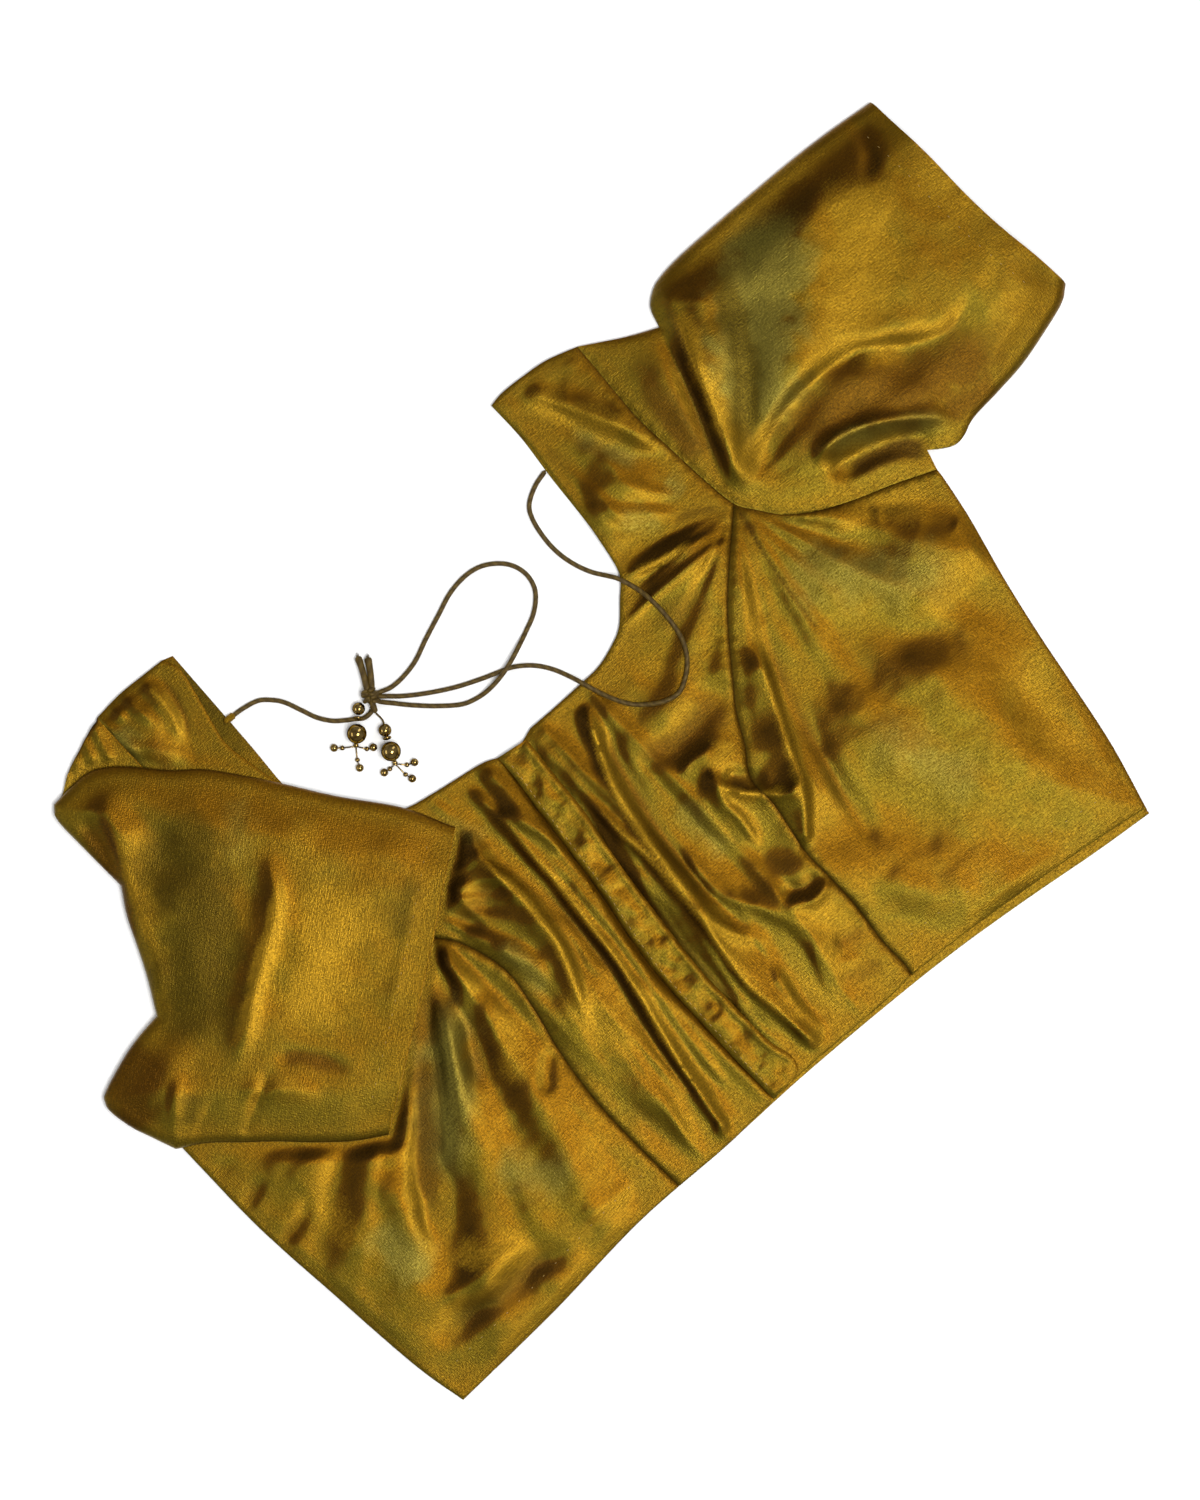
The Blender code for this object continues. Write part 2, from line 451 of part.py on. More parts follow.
def cord(name, points):
    """A round cord through (x, y, z) points."""
    curve = bpy.data.curves.new(name, "CURVE")
    curve.dimensions = "3D"
    curve.bevel_depth = CORD_DIAMETER / 2
    curve.bevel_resolution = 2
    curve.use_fill_caps = True
    spline = curve.splines.new("POLY")
    spline.points.add(len(points) - 1)
    for target, point in zip(spline.points, points):
        target.co = (*point, 1.0)
    place(bpy.data.objects.new(name, curve), cord_finish)


def laid(route, crossing=None):
    """A cord's route on the surface, raised in a long low hump where it crosses over another cord."""
    line = smooth(route, CORD_STEP)
    for point in line:
        point.z = CORD_REST
        if crossing:
            distance = (point.xy - Vector(crossing)).length
            down = (distance - CROSSING_TOP) / (CROSSING_REACH - CROSSING_TOP)
            point.z += (CORD_DIAMETER + 2 * GAP) * ease(1.0 - down)
    return line


def on_front(route):
    """A cord's route that lies on the front wherever it passes over it."""
    line = smooth(route, CORD_STEP)
    edge = smooth(NECK_FRONT_LEFT)
    for point in line:
        distance, _ = nearest(edge, point.x, point.y)
        is_on = inside(LEFT_CENTRE_OUTLINE, point.x, point.y)
        over = ease(1.0 if is_on else 1.0 - (distance - CORD_DIAMETER) / CLIMB)
        point.z = CORD_REST + over * (front_top(point.x, point.y) + GAP)
    return line


def turned(name, start, end, rings, sides=12):
    """A metal piece turned on the line from start to end; rings are (distance along it, radius) pairs."""
    mesh = bpy.data.meshes.new(name)
    profile = bmesh.new()
    corners = [profile.verts.new((radius, 0.0, along)) for along, radius in reversed(rings)]
    for a, b in zip(corners, corners[1:]):
        profile.edges.new((a, b))
    profile.to_mesh(mesh)
    profile.free()
    obj = place(bpy.data.objects.new(name, mesh), bead_finish)
    start, end = Vector(start), Vector(end)
    obj.location = start
    obj.rotation_euler = (end - start).to_track_quat("Z", "Y").to_euler()
    screw = obj.modifiers.new("turn", "SCREW")
    screw.axis = "Z"
    screw.angle = math.tau
    screw.steps = screw.render_steps = sides
    screw.use_merge_vertices = True
    screw.merge_threshold = 1e-6


def bead(middle, radius, steps=6):
    """The (distance, radius) pairs of a bead on a wire, whose middle is this far along it."""
    narrow = math.asin(min(1.0, WIRE / 2 / radius))
    turns = [narrow + (math.pi - 2 * narrow) * k / steps for k in range(steps + 1)]
    return [(middle - radius * math.cos(turn), radius * math.sin(turn)) for turn in turns]


def standing(spot, size):
    """Where the middle of a round thing of this size is, above its place in the plan."""
    return Vector((*spot, size / 2 + 0.00005))


def make_tassel(name, tassel):
    medium, large = standing(tassel.medium, MEDIUM_BEAD), standing(tassel.large, LARGE_BEAD)
    along = (large - medium).length
    wire = MEDIUM_BEAD / 2 + WIRE
    turned(name + "_medium_bead", medium, large,
           [(-wire, 0.0), (-wire, WIRE / 2), *bead(0.0, MEDIUM_BEAD / 2),
            (along - LARGE_BEAD / 2 - GAP, WIRE / 2), (along - LARGE_BEAD / 2 - GAP, 0.0)])
    half = LARGE_BEAD / 2
    turned(name + "_large_bead", large, medium,
           [(-half, 0.0), *bead(0.0, half)[1:-1], (half, 0.0)])
    cap = standing(tassel.cap, CAP_RADIUS * 2)
    seat = large + (cap - large).normalized() * (half + GAP)
    turned(name + "_cap", seat, cap,
           [(0.0, 0.0), (0.0, CAP_RADIUS), (CAP_LENGTH, CAP_RADIUS * 0.6), (CAP_LENGTH, 0.0)])
    foot = seat + (cap - seat).normalized() * CAP_LENGTH
    for number, drop in enumerate(tassel.drops, 1):
        end = standing(drop.end, SMALL_BEAD)
        towards = (end - foot).normalized()
        start = foot + towards * DROP_START
        length = (end - start).length
        seed = (standing(drop.seed, SEED_BEAD) - start).dot(towards)
        turned(f"{name}_drop_{number}", start, end,
               [(0.0, 0.0), (0.0, WIRE / 2), *bead(seed, SEED_BEAD / 2, 4),
                *bead(length, SMALL_BEAD / 2, 4)[:-1], (length + SMALL_BEAD / 2, 0.0)], 8)


def make_cords():
    cord("tie_cord_left", on_front(TIE_LEFT_ROUTE))
    cord("tie_loop", laid(TIE_LOOP_ROUTE, LOOP_CROSSING))
    cord("tie_cord_right", laid(TIE_RIGHT_ROUTE))
    for name, route in EARS.items():
        cord(name, laid(route))
    knot = bmesh.new()
    bmesh.ops.create_uvsphere(knot, u_segments=12, v_segments=8, radius=1.0,
                              matrix=Matrix.LocRotScale(Vector(KNOT_CENTRE), None, Vector(KNOT_SIZE)))
    mesh = bpy.data.meshes.new("tie_knot")
    knot.to_mesh(mesh)
    knot.free()
    place(bpy.data.objects.new("tie_knot", mesh), cord_finish)


for old in list(bpy.data.objects):
    bpy.data.objects.remove(old)
blouse = bpy.data.collections.new("choli_blouse")
helpers = bpy.data.collections.new("helpers")
for collection in (blouse, helpers):
    bpy.context.scene.collection.children.link(collection)
plan = bpy.data.objects.new("plan", None)
blouse.objects.link(plan)
plan.location = -PLAN_CENTRE

cloth = material("tissue_silk", (0.23, 0.13, 0.02), 0.4, 0.8)
cord_finish = material("tie_cord", (0.14, 0.10, 0.03), 0.6, 0.0)
bead_finish = material("gold_bead", (0.75, 0.52, 0.22), 0.2, 1.0)

make_back()
make_fronts()
make_sleeve_left()
make_sleeve_right()
make_cords()
for tassel_name, shape in TASSELS.items():
    make_tassel(tassel_name, shape)
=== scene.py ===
"""A choli blouse in gold and green shot tissue silk, laid flat: left sleeve out, right sleeve folded over.

The plan is drawn in millimetres, with the middle of the hem near (0, 0), the hem along X and the neck
towards +Y. Left and right are the wearer's. to_frame() puts a plan point in the frame, in metres.
"""

import math
from collections import namedtuple

import bpy
import numpy as np
from mathutils import Matrix, Vector, noise
from mathutils.geometry import delaunay_2d_cdt


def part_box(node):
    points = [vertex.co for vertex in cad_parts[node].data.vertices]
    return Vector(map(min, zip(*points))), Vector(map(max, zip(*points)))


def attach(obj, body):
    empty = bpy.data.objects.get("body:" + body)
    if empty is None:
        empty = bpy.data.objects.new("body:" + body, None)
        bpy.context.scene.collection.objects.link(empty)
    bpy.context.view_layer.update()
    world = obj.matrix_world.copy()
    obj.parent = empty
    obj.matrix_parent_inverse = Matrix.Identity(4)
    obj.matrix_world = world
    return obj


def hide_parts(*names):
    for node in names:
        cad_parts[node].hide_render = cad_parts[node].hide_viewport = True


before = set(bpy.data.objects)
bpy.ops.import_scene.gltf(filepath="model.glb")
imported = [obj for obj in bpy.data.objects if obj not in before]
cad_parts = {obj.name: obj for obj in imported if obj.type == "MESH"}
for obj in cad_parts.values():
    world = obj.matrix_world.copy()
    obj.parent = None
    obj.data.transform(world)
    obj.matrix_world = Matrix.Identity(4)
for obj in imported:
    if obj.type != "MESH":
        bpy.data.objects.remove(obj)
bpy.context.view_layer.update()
bpy.ops.object.select_all(action="DESELECT")

MM = 0.001
PLAN_CENTRE = np.array((46.4, 173.7))  # the plan point that stands over the frame's origin
STEP = 1.7  # between the points of a cloth's mesh
LIP = 0.9  # width of the rounded lip along a cloth's edge
CLOTH = 0.55  # thickness of the lined silk
BACK_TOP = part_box("back")[1].z / MM
FRONT_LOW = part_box("front_left_side")[0].z / MM + 0.75  # the front, where it lies down on the back
FOLDED_UNDER = 3.0  # underside of the folded sleeve, where it lies on the front


def to_frame(points):
    """Plan points, with or without heights, in the frame's metres."""
    moved = np.array(points, float)
    moved[:, :2] -= PLAN_CENTRE
    return moved * MM


# ---------------------------------------------------------------- seam lines

HEM = [(-208.6, 0), (-150, 3.6), (-93, 9.2), (-41, 9.4), (-17.5, 10.8), (7.5, 12.2), (60, 12.2), (76, 13),
       (107, 11.8), (138, 9.2), (169, 6.2), (197.5, 2.6), (207, 1.0)]
HEM_BACK = [(-208, 0.2), (-150, 3.8), (-93, 9.2), (-41, 9.4), (7.5, 10.6), (60, 10), (99, 8.4), (138, 5),
            (177, 0.6), (207.4, -2.0)]
SIDE_LEFT = [(207.4, 0), (214.7, 34), (219.4, 69), (222.5, 94), (227, 123), (233.4, 156), (236, 175),
             (236.6, 182)]
SIDE_RIGHT = [(-208.6, 0), (-213.8, 20.6), (-217.9, 45.6), (-222, 76), (-226.3, 106.7), (-228.6, 129),
              (-230, 156.7), (-231, 180)]
ARMHOLE_LEFT = [(236.6, 182), (216.7, 190), (200, 195.8), (183, 203), (170, 211.7), (161.7, 221.7),
                (155.5, 231), (152.5, 246.7), (150, 268), (147.5, 288), (147.5, 302), (148, 321), (148, 333)]
ARMHOLE_RIGHT = [(-231, 180), (-205, 188), (-189, 193), (-169, 202), (-154, 212), (-141, 228), (-137, 240),
                 (-134, 262), (-131, 288), (-130, 312), (-131, 348)]
PRINCESS_LEFT = [(75.6, 13.8), (76.4, 18.7), (75.6, 34), (77, 54.7), (76.5, 70), (75.6, 88), (77, 100),
                 (78.7, 114), (78.7, 130.5), (86.6, 143.7), (93.6, 157.8), (102, 170), (117.8, 192),
                 (128.7, 204.7), (141, 217), (155.5, 231)]
PRINCESS_RIGHT = [(-69, 9.6), (-71.4, 37.8), (-72.3, 66), (-70, 94), (-66.5, 114), (-64.4, 136), (-71, 158),
                  (-79.7, 170), (-102, 194), (-124, 214), (-141, 228)]
SHOULDER_LEFT = [(148, 333), (133, 337.5), (120, 339), (108, 339.5), (100.3, 338.3)]
SHOULDER_RIGHT = [(-131, 348), (-116, 349.4), (-102, 349), (-91, 348.5)]
NECK_LEFT = [(100.3, 338.3), (102, 318), (101.5, 305), (100, 290), (98.5, 269), (96, 248), (93.4, 239.4),
             (86.8, 232), (78, 222.5), (69, 218), (58.8, 215), (48.5, 214.4), (30, 214), (16.9, 214)]
NECK_RIGHT = [(-3.4, 213.5), (-11.8, 216.6), (-36.8, 220.6), (-51.7, 224), (-68, 233), (-80, 250), (-87, 270),
              (-91, 285), (-93.9, 300), (-92.5, 311), (-89.7, 325), (-87.5, 340), (-91, 348.5)]
NECK_BACK = [(100.3, 338), (101, 318), (99.5, 295), (98, 262), (94, 225), (80, 170), (48, 125), (8, 110),
             (-32, 125), (-64, 170), (-80, 225), (-86, 262), (-86, 295), (-86.2, 347)]
BAND_SEAM = [(-9.7, 11.5), (-11.2, 35), (-12, 58), (-12.8, 89), (-11.2, 111), (-8, 136), (-6.6, 155),
             (-5, 183), (-3.4, 202), (-3.4, 213.5)]
BAND_EDGE = [(12.2, 211.3), (11.4, 191), (10.6, 167.5), (7.5, 142.5), (5.2, 111), (3.6, 81.6), (4.4, 58),
             (5.9, 34.7), (9.4, 22), (7.8, 14.6), (2, 12.6)]
UNDERLAP = [(2, 209), (-2, 180), (-4, 150), (-8, 100), (-8, 40), (-6, 12)]

LEFT_CAP = [(148, 333), (156.7, 328), (168, 321.7), (182.5, 315)]
LEFT_TOP = [(182.5, 315), (185, 324), (190, 329), (196.7, 332), (210, 333.7), (233, 334), (273, 333.7),
            (298, 332.5), (323.7, 330)]
LEFT_CUFF = [(323.7, 330), (325, 310), (326.7, 290), (328, 266.7), (330.8, 243), (335, 221.7), (337.2, 208)]
LEFT_UNDER = [(337.2, 208), (330, 202.5), (315, 197.5), (298, 193), (281.7, 190.8), (265, 189),
              (256.7, 185.8), (250.8, 185), (245, 187.5), (239, 191.7)]

RIGHT_CUFF = [(-39, 202), (-60, 185.5), (-79.7, 170), (-115, 143.5), (-154.7, 115)]
RIGHT_UNDER = [(-154.7, 115), (-168.6, 123.3), (-182.5, 134.4), (-196.4, 147), (-207.5, 156), (-220, 166.4),
               (-233, 174)]
RIGHT_LOBE = [(-233, 174), (-238.3, 186.4), (-241.8, 194.7), (-244.4, 205.8), (-243.6, 211.4), (-240, 215),
              (-224.4, 221), (-213, 224), (-199.6, 226)]
RIGHT_TURN = [(-199.6, 226), (-191, 243), (-185.6, 255.8), (-180, 269.7), (-173, 282)]
RIGHT_END = [(-173, 282), (-174.7, 307), (-175.4, 324), (-172, 330.5)]
RIGHT_CAP_TOP = [(-172, 330.5), (-166, 333), (-157.8, 338.5), (-149.4, 342), (-137, 346.8), (-131, 348)]
RIGHT_TOP = [(-172, 330.5), (-159, 331.6), (-149.4, 331), (-141, 326.7), (-132.8, 319.7), (-121.7, 308),
             (-109, 297.5), (-95, 280.8), (-86, 269), (-70.6, 248), (-51.5, 224.7), (-39, 202)]

# ---------------------------------------------------------------- creases

# Each runs along a path. height is up (a ridge) or down (a trough); left and right are the widths of its
# two flanks, seen along the path; start and end are the shares of its length over which it rises and dies
# away; power 2 is a round crest and 1 a sharp one.
Crease = namedtuple("Crease", "height left right start end power path")

FRONT_CREASES = [
    # the wearer's right front, between the band and the princess seam
    Crease(3.4, 5.0, 2.4, 0.08, 0.04, 1.5, [(-23.7, 217), (-20.6, 192), (-20.6, 164), (-22, 130), (-23, 105),
                                            (-27, 80), (-31.6, 55), (-35.5, 27), (-35.5, 12)]),
    Crease(-1.7, 2.4, 3.0, 0.12, 0.05, 2.0, [(-27, 190), (-25.5, 167), (-26, 136), (-27.5, 105), (-32, 81.6),
                                             (-35.7, 50), (-38.8, 14)]),
    Crease(2.8, 3.4, 7.5, 0.15, 0.25, 1.5, [(-47, 194), (-38.6, 178), (-35.5, 161), (-37, 136), (-41, 120.6),
                                            (-48.7, 102), (-56.6, 84.7)]),
    Crease(-1.2, 3.0, 3.0, 0.2, 0.25, 2.0, [(-41, 190), (-32, 165), (-32.5, 138), (-36.5, 118), (-44, 100)]),
    Crease(1.7, 3.2, 2.6, 0.2, 0.2, 1.6, [(-19, 196), (-11, 175), (-8.6, 160)]),
    Crease(1.4, 2.4, 2.6, 0.2, 0.15, 1.6, [(-15, 172), (-14.5, 140), (-15.5, 110), (-18, 85), (-21, 55),
                                           (-22, 20)]),
    Crease(1.0, 1.6, 1.6, 0.0, 0.6, 1.4, [(-33, 219.5), (-31.5, 205)]),
    Crease(0.9, 1.5, 1.5, 0.0, 0.6, 1.4, [(-14, 216), (-13.5, 203)]),
    Crease(0.8, 1.6, 1.4, 0.0, 0.6, 1.4, [(-46, 222), (-43, 208)]),
    Crease(-1.6, 8.0, 8.0, 0.2, 0.2, 2.0, [(-78, 168), (-55, 166), (-38, 170)]),
    Crease(1.2, 5.0, 8.0, 0.3, 0.3, 1.6, [(-66, 150), (-56, 140), (-50, 120)]),
    Crease(1.0, 6.0, 6.0, 0.3, 0.3, 2.0, [(-60, 70), (-52, 45), (-50, 15)]),
    # the wearer's left front, between the band and the princess seam
    Crease(3.2, 3.0, 2.2, 0.12, 0.06, 1.5, [(15.3, 178), (16.9, 152), (19, 128), (19, 100), (16.9, 81.6),
                                            (15.3, 61), (17.7, 42.5), (21.6, 14.4)]),
    Crease(3.8, 3.0, 4.4, 0.1, 0.2, 1.5, [(45, 211), (35.6, 189), (29.4, 170.6), (26.2, 152), (23.9, 130),
                                          (23, 105), (23.9, 89), (29.4, 77), (35.6, 64)]),
    Crease(-1.9, 3.6, 3.0, 0.15, 0.2, 2.0, [(44, 195), (36, 169), (33, 150), (30.5, 130), (29.5, 105),
                                            (31, 90)]),
    Crease(1.9, 4.5, 3.6, 0.25, 0.3, 1.6, [(35.6, 132), (31.7, 112.8), (34, 97), (43.4, 81.6), (52.8, 58)]),
    Crease(-1.4, 2.6, 2.6, 0.1, 0.1, 2.0, [(13.5, 200), (12.4, 170), (9.6, 142), (7.2, 111), (6, 82),
                                           (6.6, 58), (8, 30)]),
    Crease(1.3, 3.0, 3.0, 0.2, 0.2, 1.6, [(30, 60), (27, 40), (30, 16)]),
    Crease(1.2, 4.0, 3.0, 0.3, 0.2, 1.6, [(52, 60), (44, 38), (42, 16)]),
    Crease(-2.2, 10.0, 8.0, 0.25, 0.2, 2.0, [(40, 174), (60, 166), (85, 166), (103, 176)]),
    Crease(1.4, 2.4, 3.2, 0.25, 0.25, 1.5, [(54, 151), (58, 153), (63.7, 155), (76, 152)]),
    Crease(3.0, 2.2, 3.4, 0.1, 0.15, 1.4, [(63, 146), (65, 141), (70, 130), (76, 124), (88.7, 113.6),
                                           (94, 119)]),
    Crease(2.4, 2.4, 4.0, 0.15, 0.3, 1.4, [(65, 142), (62, 128), (63, 120), (60.6, 100)]),
    Crease(-2.0, 4.0, 4.0, 0.2, 0.3, 2.0, [(70, 141), (76, 133), (84, 124)]),
    Crease(-1.8, 3.6, 3.6, 0.3, 0.3, 2.0, [(54, 84), (64, 76.5), (76, 78)]),
    Crease(1.6, 2.6, 3.0, 0.3, 0.2, 1.5, [(52, 77), (64, 69), (76, 72)]),
    Crease(-1.3, 3.4, 3.4, 0.3, 0.2, 2.0, [(58, 49), (68, 44), (76, 46)]),
    Crease(-1.2, 4.0, 4.0, 0.3, 0.3, 2.0, [(46, 33), (60, 27), (75, 29)]),
    Crease(1.1, 2.4, 3.0, 0.3, 0.3, 1.5, [(52, 39), (64, 36), (76, 38)]),
    # the left strap and neck
    Crease(2.8, 6.0, 4.6, 0.15, 0.25, 1.7, [(114, 336), (119, 328), (128, 311.7), (138, 293), (147, 268)]),
    Crease(-1.5, 5.0, 5.0, 0.2, 0.3, 2.0, [(116, 322), (124, 300), (133, 275), (138, 262)]),
    Crease(-1.3, 2.4, 2.4, 0.3, 0.2, 1.6, [(128, 244), (140, 240), (152, 231)]),
    Crease(1.5, 1.4, 3.4, 0.0, 0.25, 1.3, [(95, 239), (112, 234), (130, 230.5), (141, 226)]),
    Crease(1.5, 1.4, 3.6, 0.0, 0.2, 1.3, [(78, 222), (105, 223.5), (131.7, 222.5), (146, 219)]),
    Crease(-1.0, 3.0, 3.0, 0.2, 0.3, 2.0, [(98, 246), (118, 243), (136, 235)]),
    Crease(1.2, 3.0, 3.0, 0.2, 0.4, 1.6, [(106, 300), (110, 275), (112, 250)]),
    # the left side front
    Crease(3.6, 2.4, 8.0, 0.15, 0.08, 1.4, [(121, 178), (119, 172), (111.6, 153), (102, 131), (93.6, 111),
                                            (77, 89)]),
    Crease(-2.0, 5.5, 4.0, 0.2, 0.2, 2.0, [(127, 183), (122.5, 162.5), (116, 137.5), (110, 112.5),
                                           (105, 86), (102, 64)]),
    Crease(2.2, 15.0, 12.0, 0.3, 0.3, 2.0, [(158, 214), (170, 185), (195, 152), (226, 130)]),
    Crease(-1.8, 13.0, 13.0, 0.3, 0.3, 2.0, [(152, 165), (172, 138), (198, 108)]),
    Crease(1.6, 16.0, 14.0, 0.3, 0.3, 2.0, [(138, 120), (150, 80), (168, 40)]),
    Crease(-1.4, 12.0, 12.0, 0.3, 0.3, 2.0, [(205, 95), (196, 60), (200, 25)]),
    Crease(1.3, 9.0, 9.0, 0.3, 0.3, 2.0, [(178, 205), (200, 190), (228, 168)]),
    Crease(0.9, 1.6, 1.6, 0.2, 0.5, 1.4, [(206, 192), (200, 178)]),
    Crease(0.8, 2.0, 2.0, 0.0, 0.6, 1.5, [(233, 158), (220, 155)]),
    Crease(1.2, 8.0, 8.0, 0.3, 0.3, 2.0, [(92, 60), (104, 38), (130, 22)]),
    # the right side front
    Crease(-3.2, 7.0, 7.5, 0.12, 0.1, 2.0, [(-166, 60), (-159, 79), (-150.6, 93), (-139, 107), (-130, 118),
                                            (-120, 129), (-111.7, 137), (-99, 148), (-86, 160)]),
    Crease(1.8, 8.0, 6.0, 0.3, 0.3, 2.0, [(-178, 58), (-172, 85), (-162, 104)]),
    Crease(2.0, 7.0, 7.0, 0.3, 0.2, 2.0, [(-150, 70), (-140, 88), (-122, 108), (-104, 129), (-88, 147)]),
    Crease(-1.9, 6.0, 6.0, 0.25, 0.2, 2.0, [(-110, 100), (-106, 107), (-92, 127.5), (-77, 145)]),
    Crease(-1.2, 3.6, 4.0, 0.25, 0.2, 2.0, [(-88, 80), (-82, 88), (-72, 97)]),
    Crease(-1.0, 3.0, 3.0, 0.0, 0.5, 1.8, [(-231, 152), (-214, 154)]),
    Crease(-1.4, 4.0, 3.4, 0.0, 0.5, 1.8, [(-229, 132), (-210, 138.6)]),
    Crease(-1.4, 3.6, 4.0, 0.0, 0.5, 1.8, [(-227, 109), (-210, 112), (-198, 121)]),
    Crease(-2.2, 6.5, 6.5, 0.2, 0.2, 2.0, [(-202, 26), (-182, 28), (-160, 24), (-142, 25), (-126, 15)]),
    Crease(1.2, 5.0, 5.0, 0.3, 0.3, 1.8, [(-196, 40), (-165, 39), (-132, 35)]),
    Crease(0.7, 4.0, 4.0, 0.3, 0.3, 1.8, [(-118, 30), (-96, 25), (-76, 27)]),
    # the right strap
    Crease(-1.7, 1.8, 1.8, 0.0, 0.1, 1.5, [(-98, 348), (-96.7, 340.6), (-99.4, 324), (-104, 312.8),
                                           (-112, 299)]),
    Crease(1.6, 2.2, 3.2, 0.0, 0.3, 1.5, [(-104, 348), (-103, 330), (-109, 312)]),
    Crease(1.4, 1.6, 2.0, 0.0, 0.4, 1.4, [(-116, 349), (-114, 338), (-112, 326)]),
    Crease(1.3, 1.4, 2.0, 0.0, 0.4, 1.4, [(-123, 349), (-121, 337)]),
    Crease(1.4, 1.6, 2.0, 0.0, 0.3, 1.4, [(-131, 348), (-129, 336), (-127, 318)]),
]

BAND_DIMPLES = [  # up the hook band: (height up the band, depth of the pucker)
    (20, 0.9), (50, 1.3), (70, 1.2), (90, 1.6), (107, 1.8), (131, 1.3), (150, 1.7), (172, 0.9), (193, 0.8),
]

LEFT_SLEEVE_CREASES = [
    Crease(6.0, 10.0, 3.6, 0.1, 0.15, 1.5, [(194, 331), (193, 321.7), (188, 305), (180, 285), (173, 265),
                                            (165, 246.7), (157, 235)]),
    Crease(-4.0, 3.6, 4.2, 0.0, 0.1, 1.8, [(183, 317), (176.7, 293), (170, 271.7), (162, 250), (157, 236)]),
    Crease(-1.8, 9.0, 10.0, 0.15, 0.2, 2.0, [(252, 332), (223, 308), (206.7, 285), (193, 265), (180, 250),
                                             (164, 236)]),
    Crease(1.4, 12.0, 14.0, 0.3, 0.3, 2.0, [(290, 330), (255, 296), (215, 262), (185, 244)]),
    Crease(-4.4, 5.0, 19.0, 0.15, 0.3, 1.8, [(164, 230), (172, 234), (183, 240), (198, 246.7), (216.7, 249),
                                             (236.7, 247.5), (250, 243), (263, 233), (284, 226),
                                             (310, 236)]),
    Crease(4.6, 3.6, 4.6, 0.15, 0.25, 1.5, [(194, 222), (213, 222.5), (231.7, 215), (247, 204), (262, 191)]),
    Crease(-4.4, 4.6, 5.0, 0.2, 0.15, 2.0, [(196, 212), (214, 209), (230, 203), (245, 192)]),
    Crease(0.8, 3.0, 3.0, 0.3, 0.3, 1.5, [(200, 203), (215, 199.5), (232, 193)]),
    Crease(-1.4, 4.0, 4.0, 0.0, 0.4, 2.0, [(312, 331), (308, 315), (295, 300)]),
    Crease(0.6, 12.0, 12.0, 0.3, 0.3, 2.0, [(262, 250), (290, 262), (322, 276)]),
    Crease(1.2, 4.0, 5.0, 0.3, 0.3, 1.6, [(276, 200), (300, 208), (326, 214)]),
]

RIGHT_SLEEVE_CREASES = [
    Crease(3.4, 7.0, 3.2, 0.2, 0.15, 1.5, [(-158, 322), (-158.5, 304), (-164.7, 290.6), (-171.7, 274),
                                           (-177, 260), (-187, 240.6), (-197, 229)]),
    Crease(-2.4, 5.0, 5.0, 0.2, 0.2, 2.0, [(-166, 318), (-168, 300), (-173, 285)]),
    Crease(2.0, 4.0, 6.0, 0.2, 0.25, 1.5, [(-106, 252), (-115, 243), (-124, 228), (-139, 217),
                                           (-154, 207), (-173, 193), (-192, 182)]),
    Crease(-1.2, 12.0, 13.0, 0.25, 0.2, 2.0, [(-106, 262), (-130, 246), (-152, 230), (-176, 214),
                                              (-202, 199), (-226, 186)]),
    Crease(-1.8, 9.0, 9.0, 0.3, 0.3, 2.0, [(-148, 318), (-146, 290), (-156, 262)]),
    Crease(-0.7, 3.4, 5.0, 0.2, 0.25, 1.8, [(-172, 178), (-162, 171), (-152, 158), (-146, 147)]),
    Crease(-1.5, 1.8, 3.4, 0.1, 0.3, 1.3, [(-206, 158), (-190, 166), (-174, 175)]),
    Crease(1.4, 5.0, 5.0, 0.3, 0.3, 1.8, [(-196, 176), (-178, 163), (-164, 148)]),
    Crease(0.35, 3.0, 3.0, 0.3, 0.3, 1.6, [(-60, 202), (-92, 176), (-128, 149)]),
    Crease(1.6, 3.0, 3.6, 0.1, 0.4, 1.6, [(-232, 176), (-222, 188), (-206, 200)]),
    Crease(-0.9, 2.0, 3.6, 0.0, 0.4, 1.3, [(-228, 168), (-214, 176), (-198, 180)]),
]


# ---------------------------------------------------------------- painted light and shade

# Painted light along the folds: dark and brown patches are painted shade, olive ones painted shade in the
# weft's green, gold ones painted highlight and green ones painted sheen. Widths as for a crease; soft 2 is an
# even fade and 4 a patch with a clear rim.
PaintedLight = namedtuple("PaintedLight", "hue strength left right soft path")

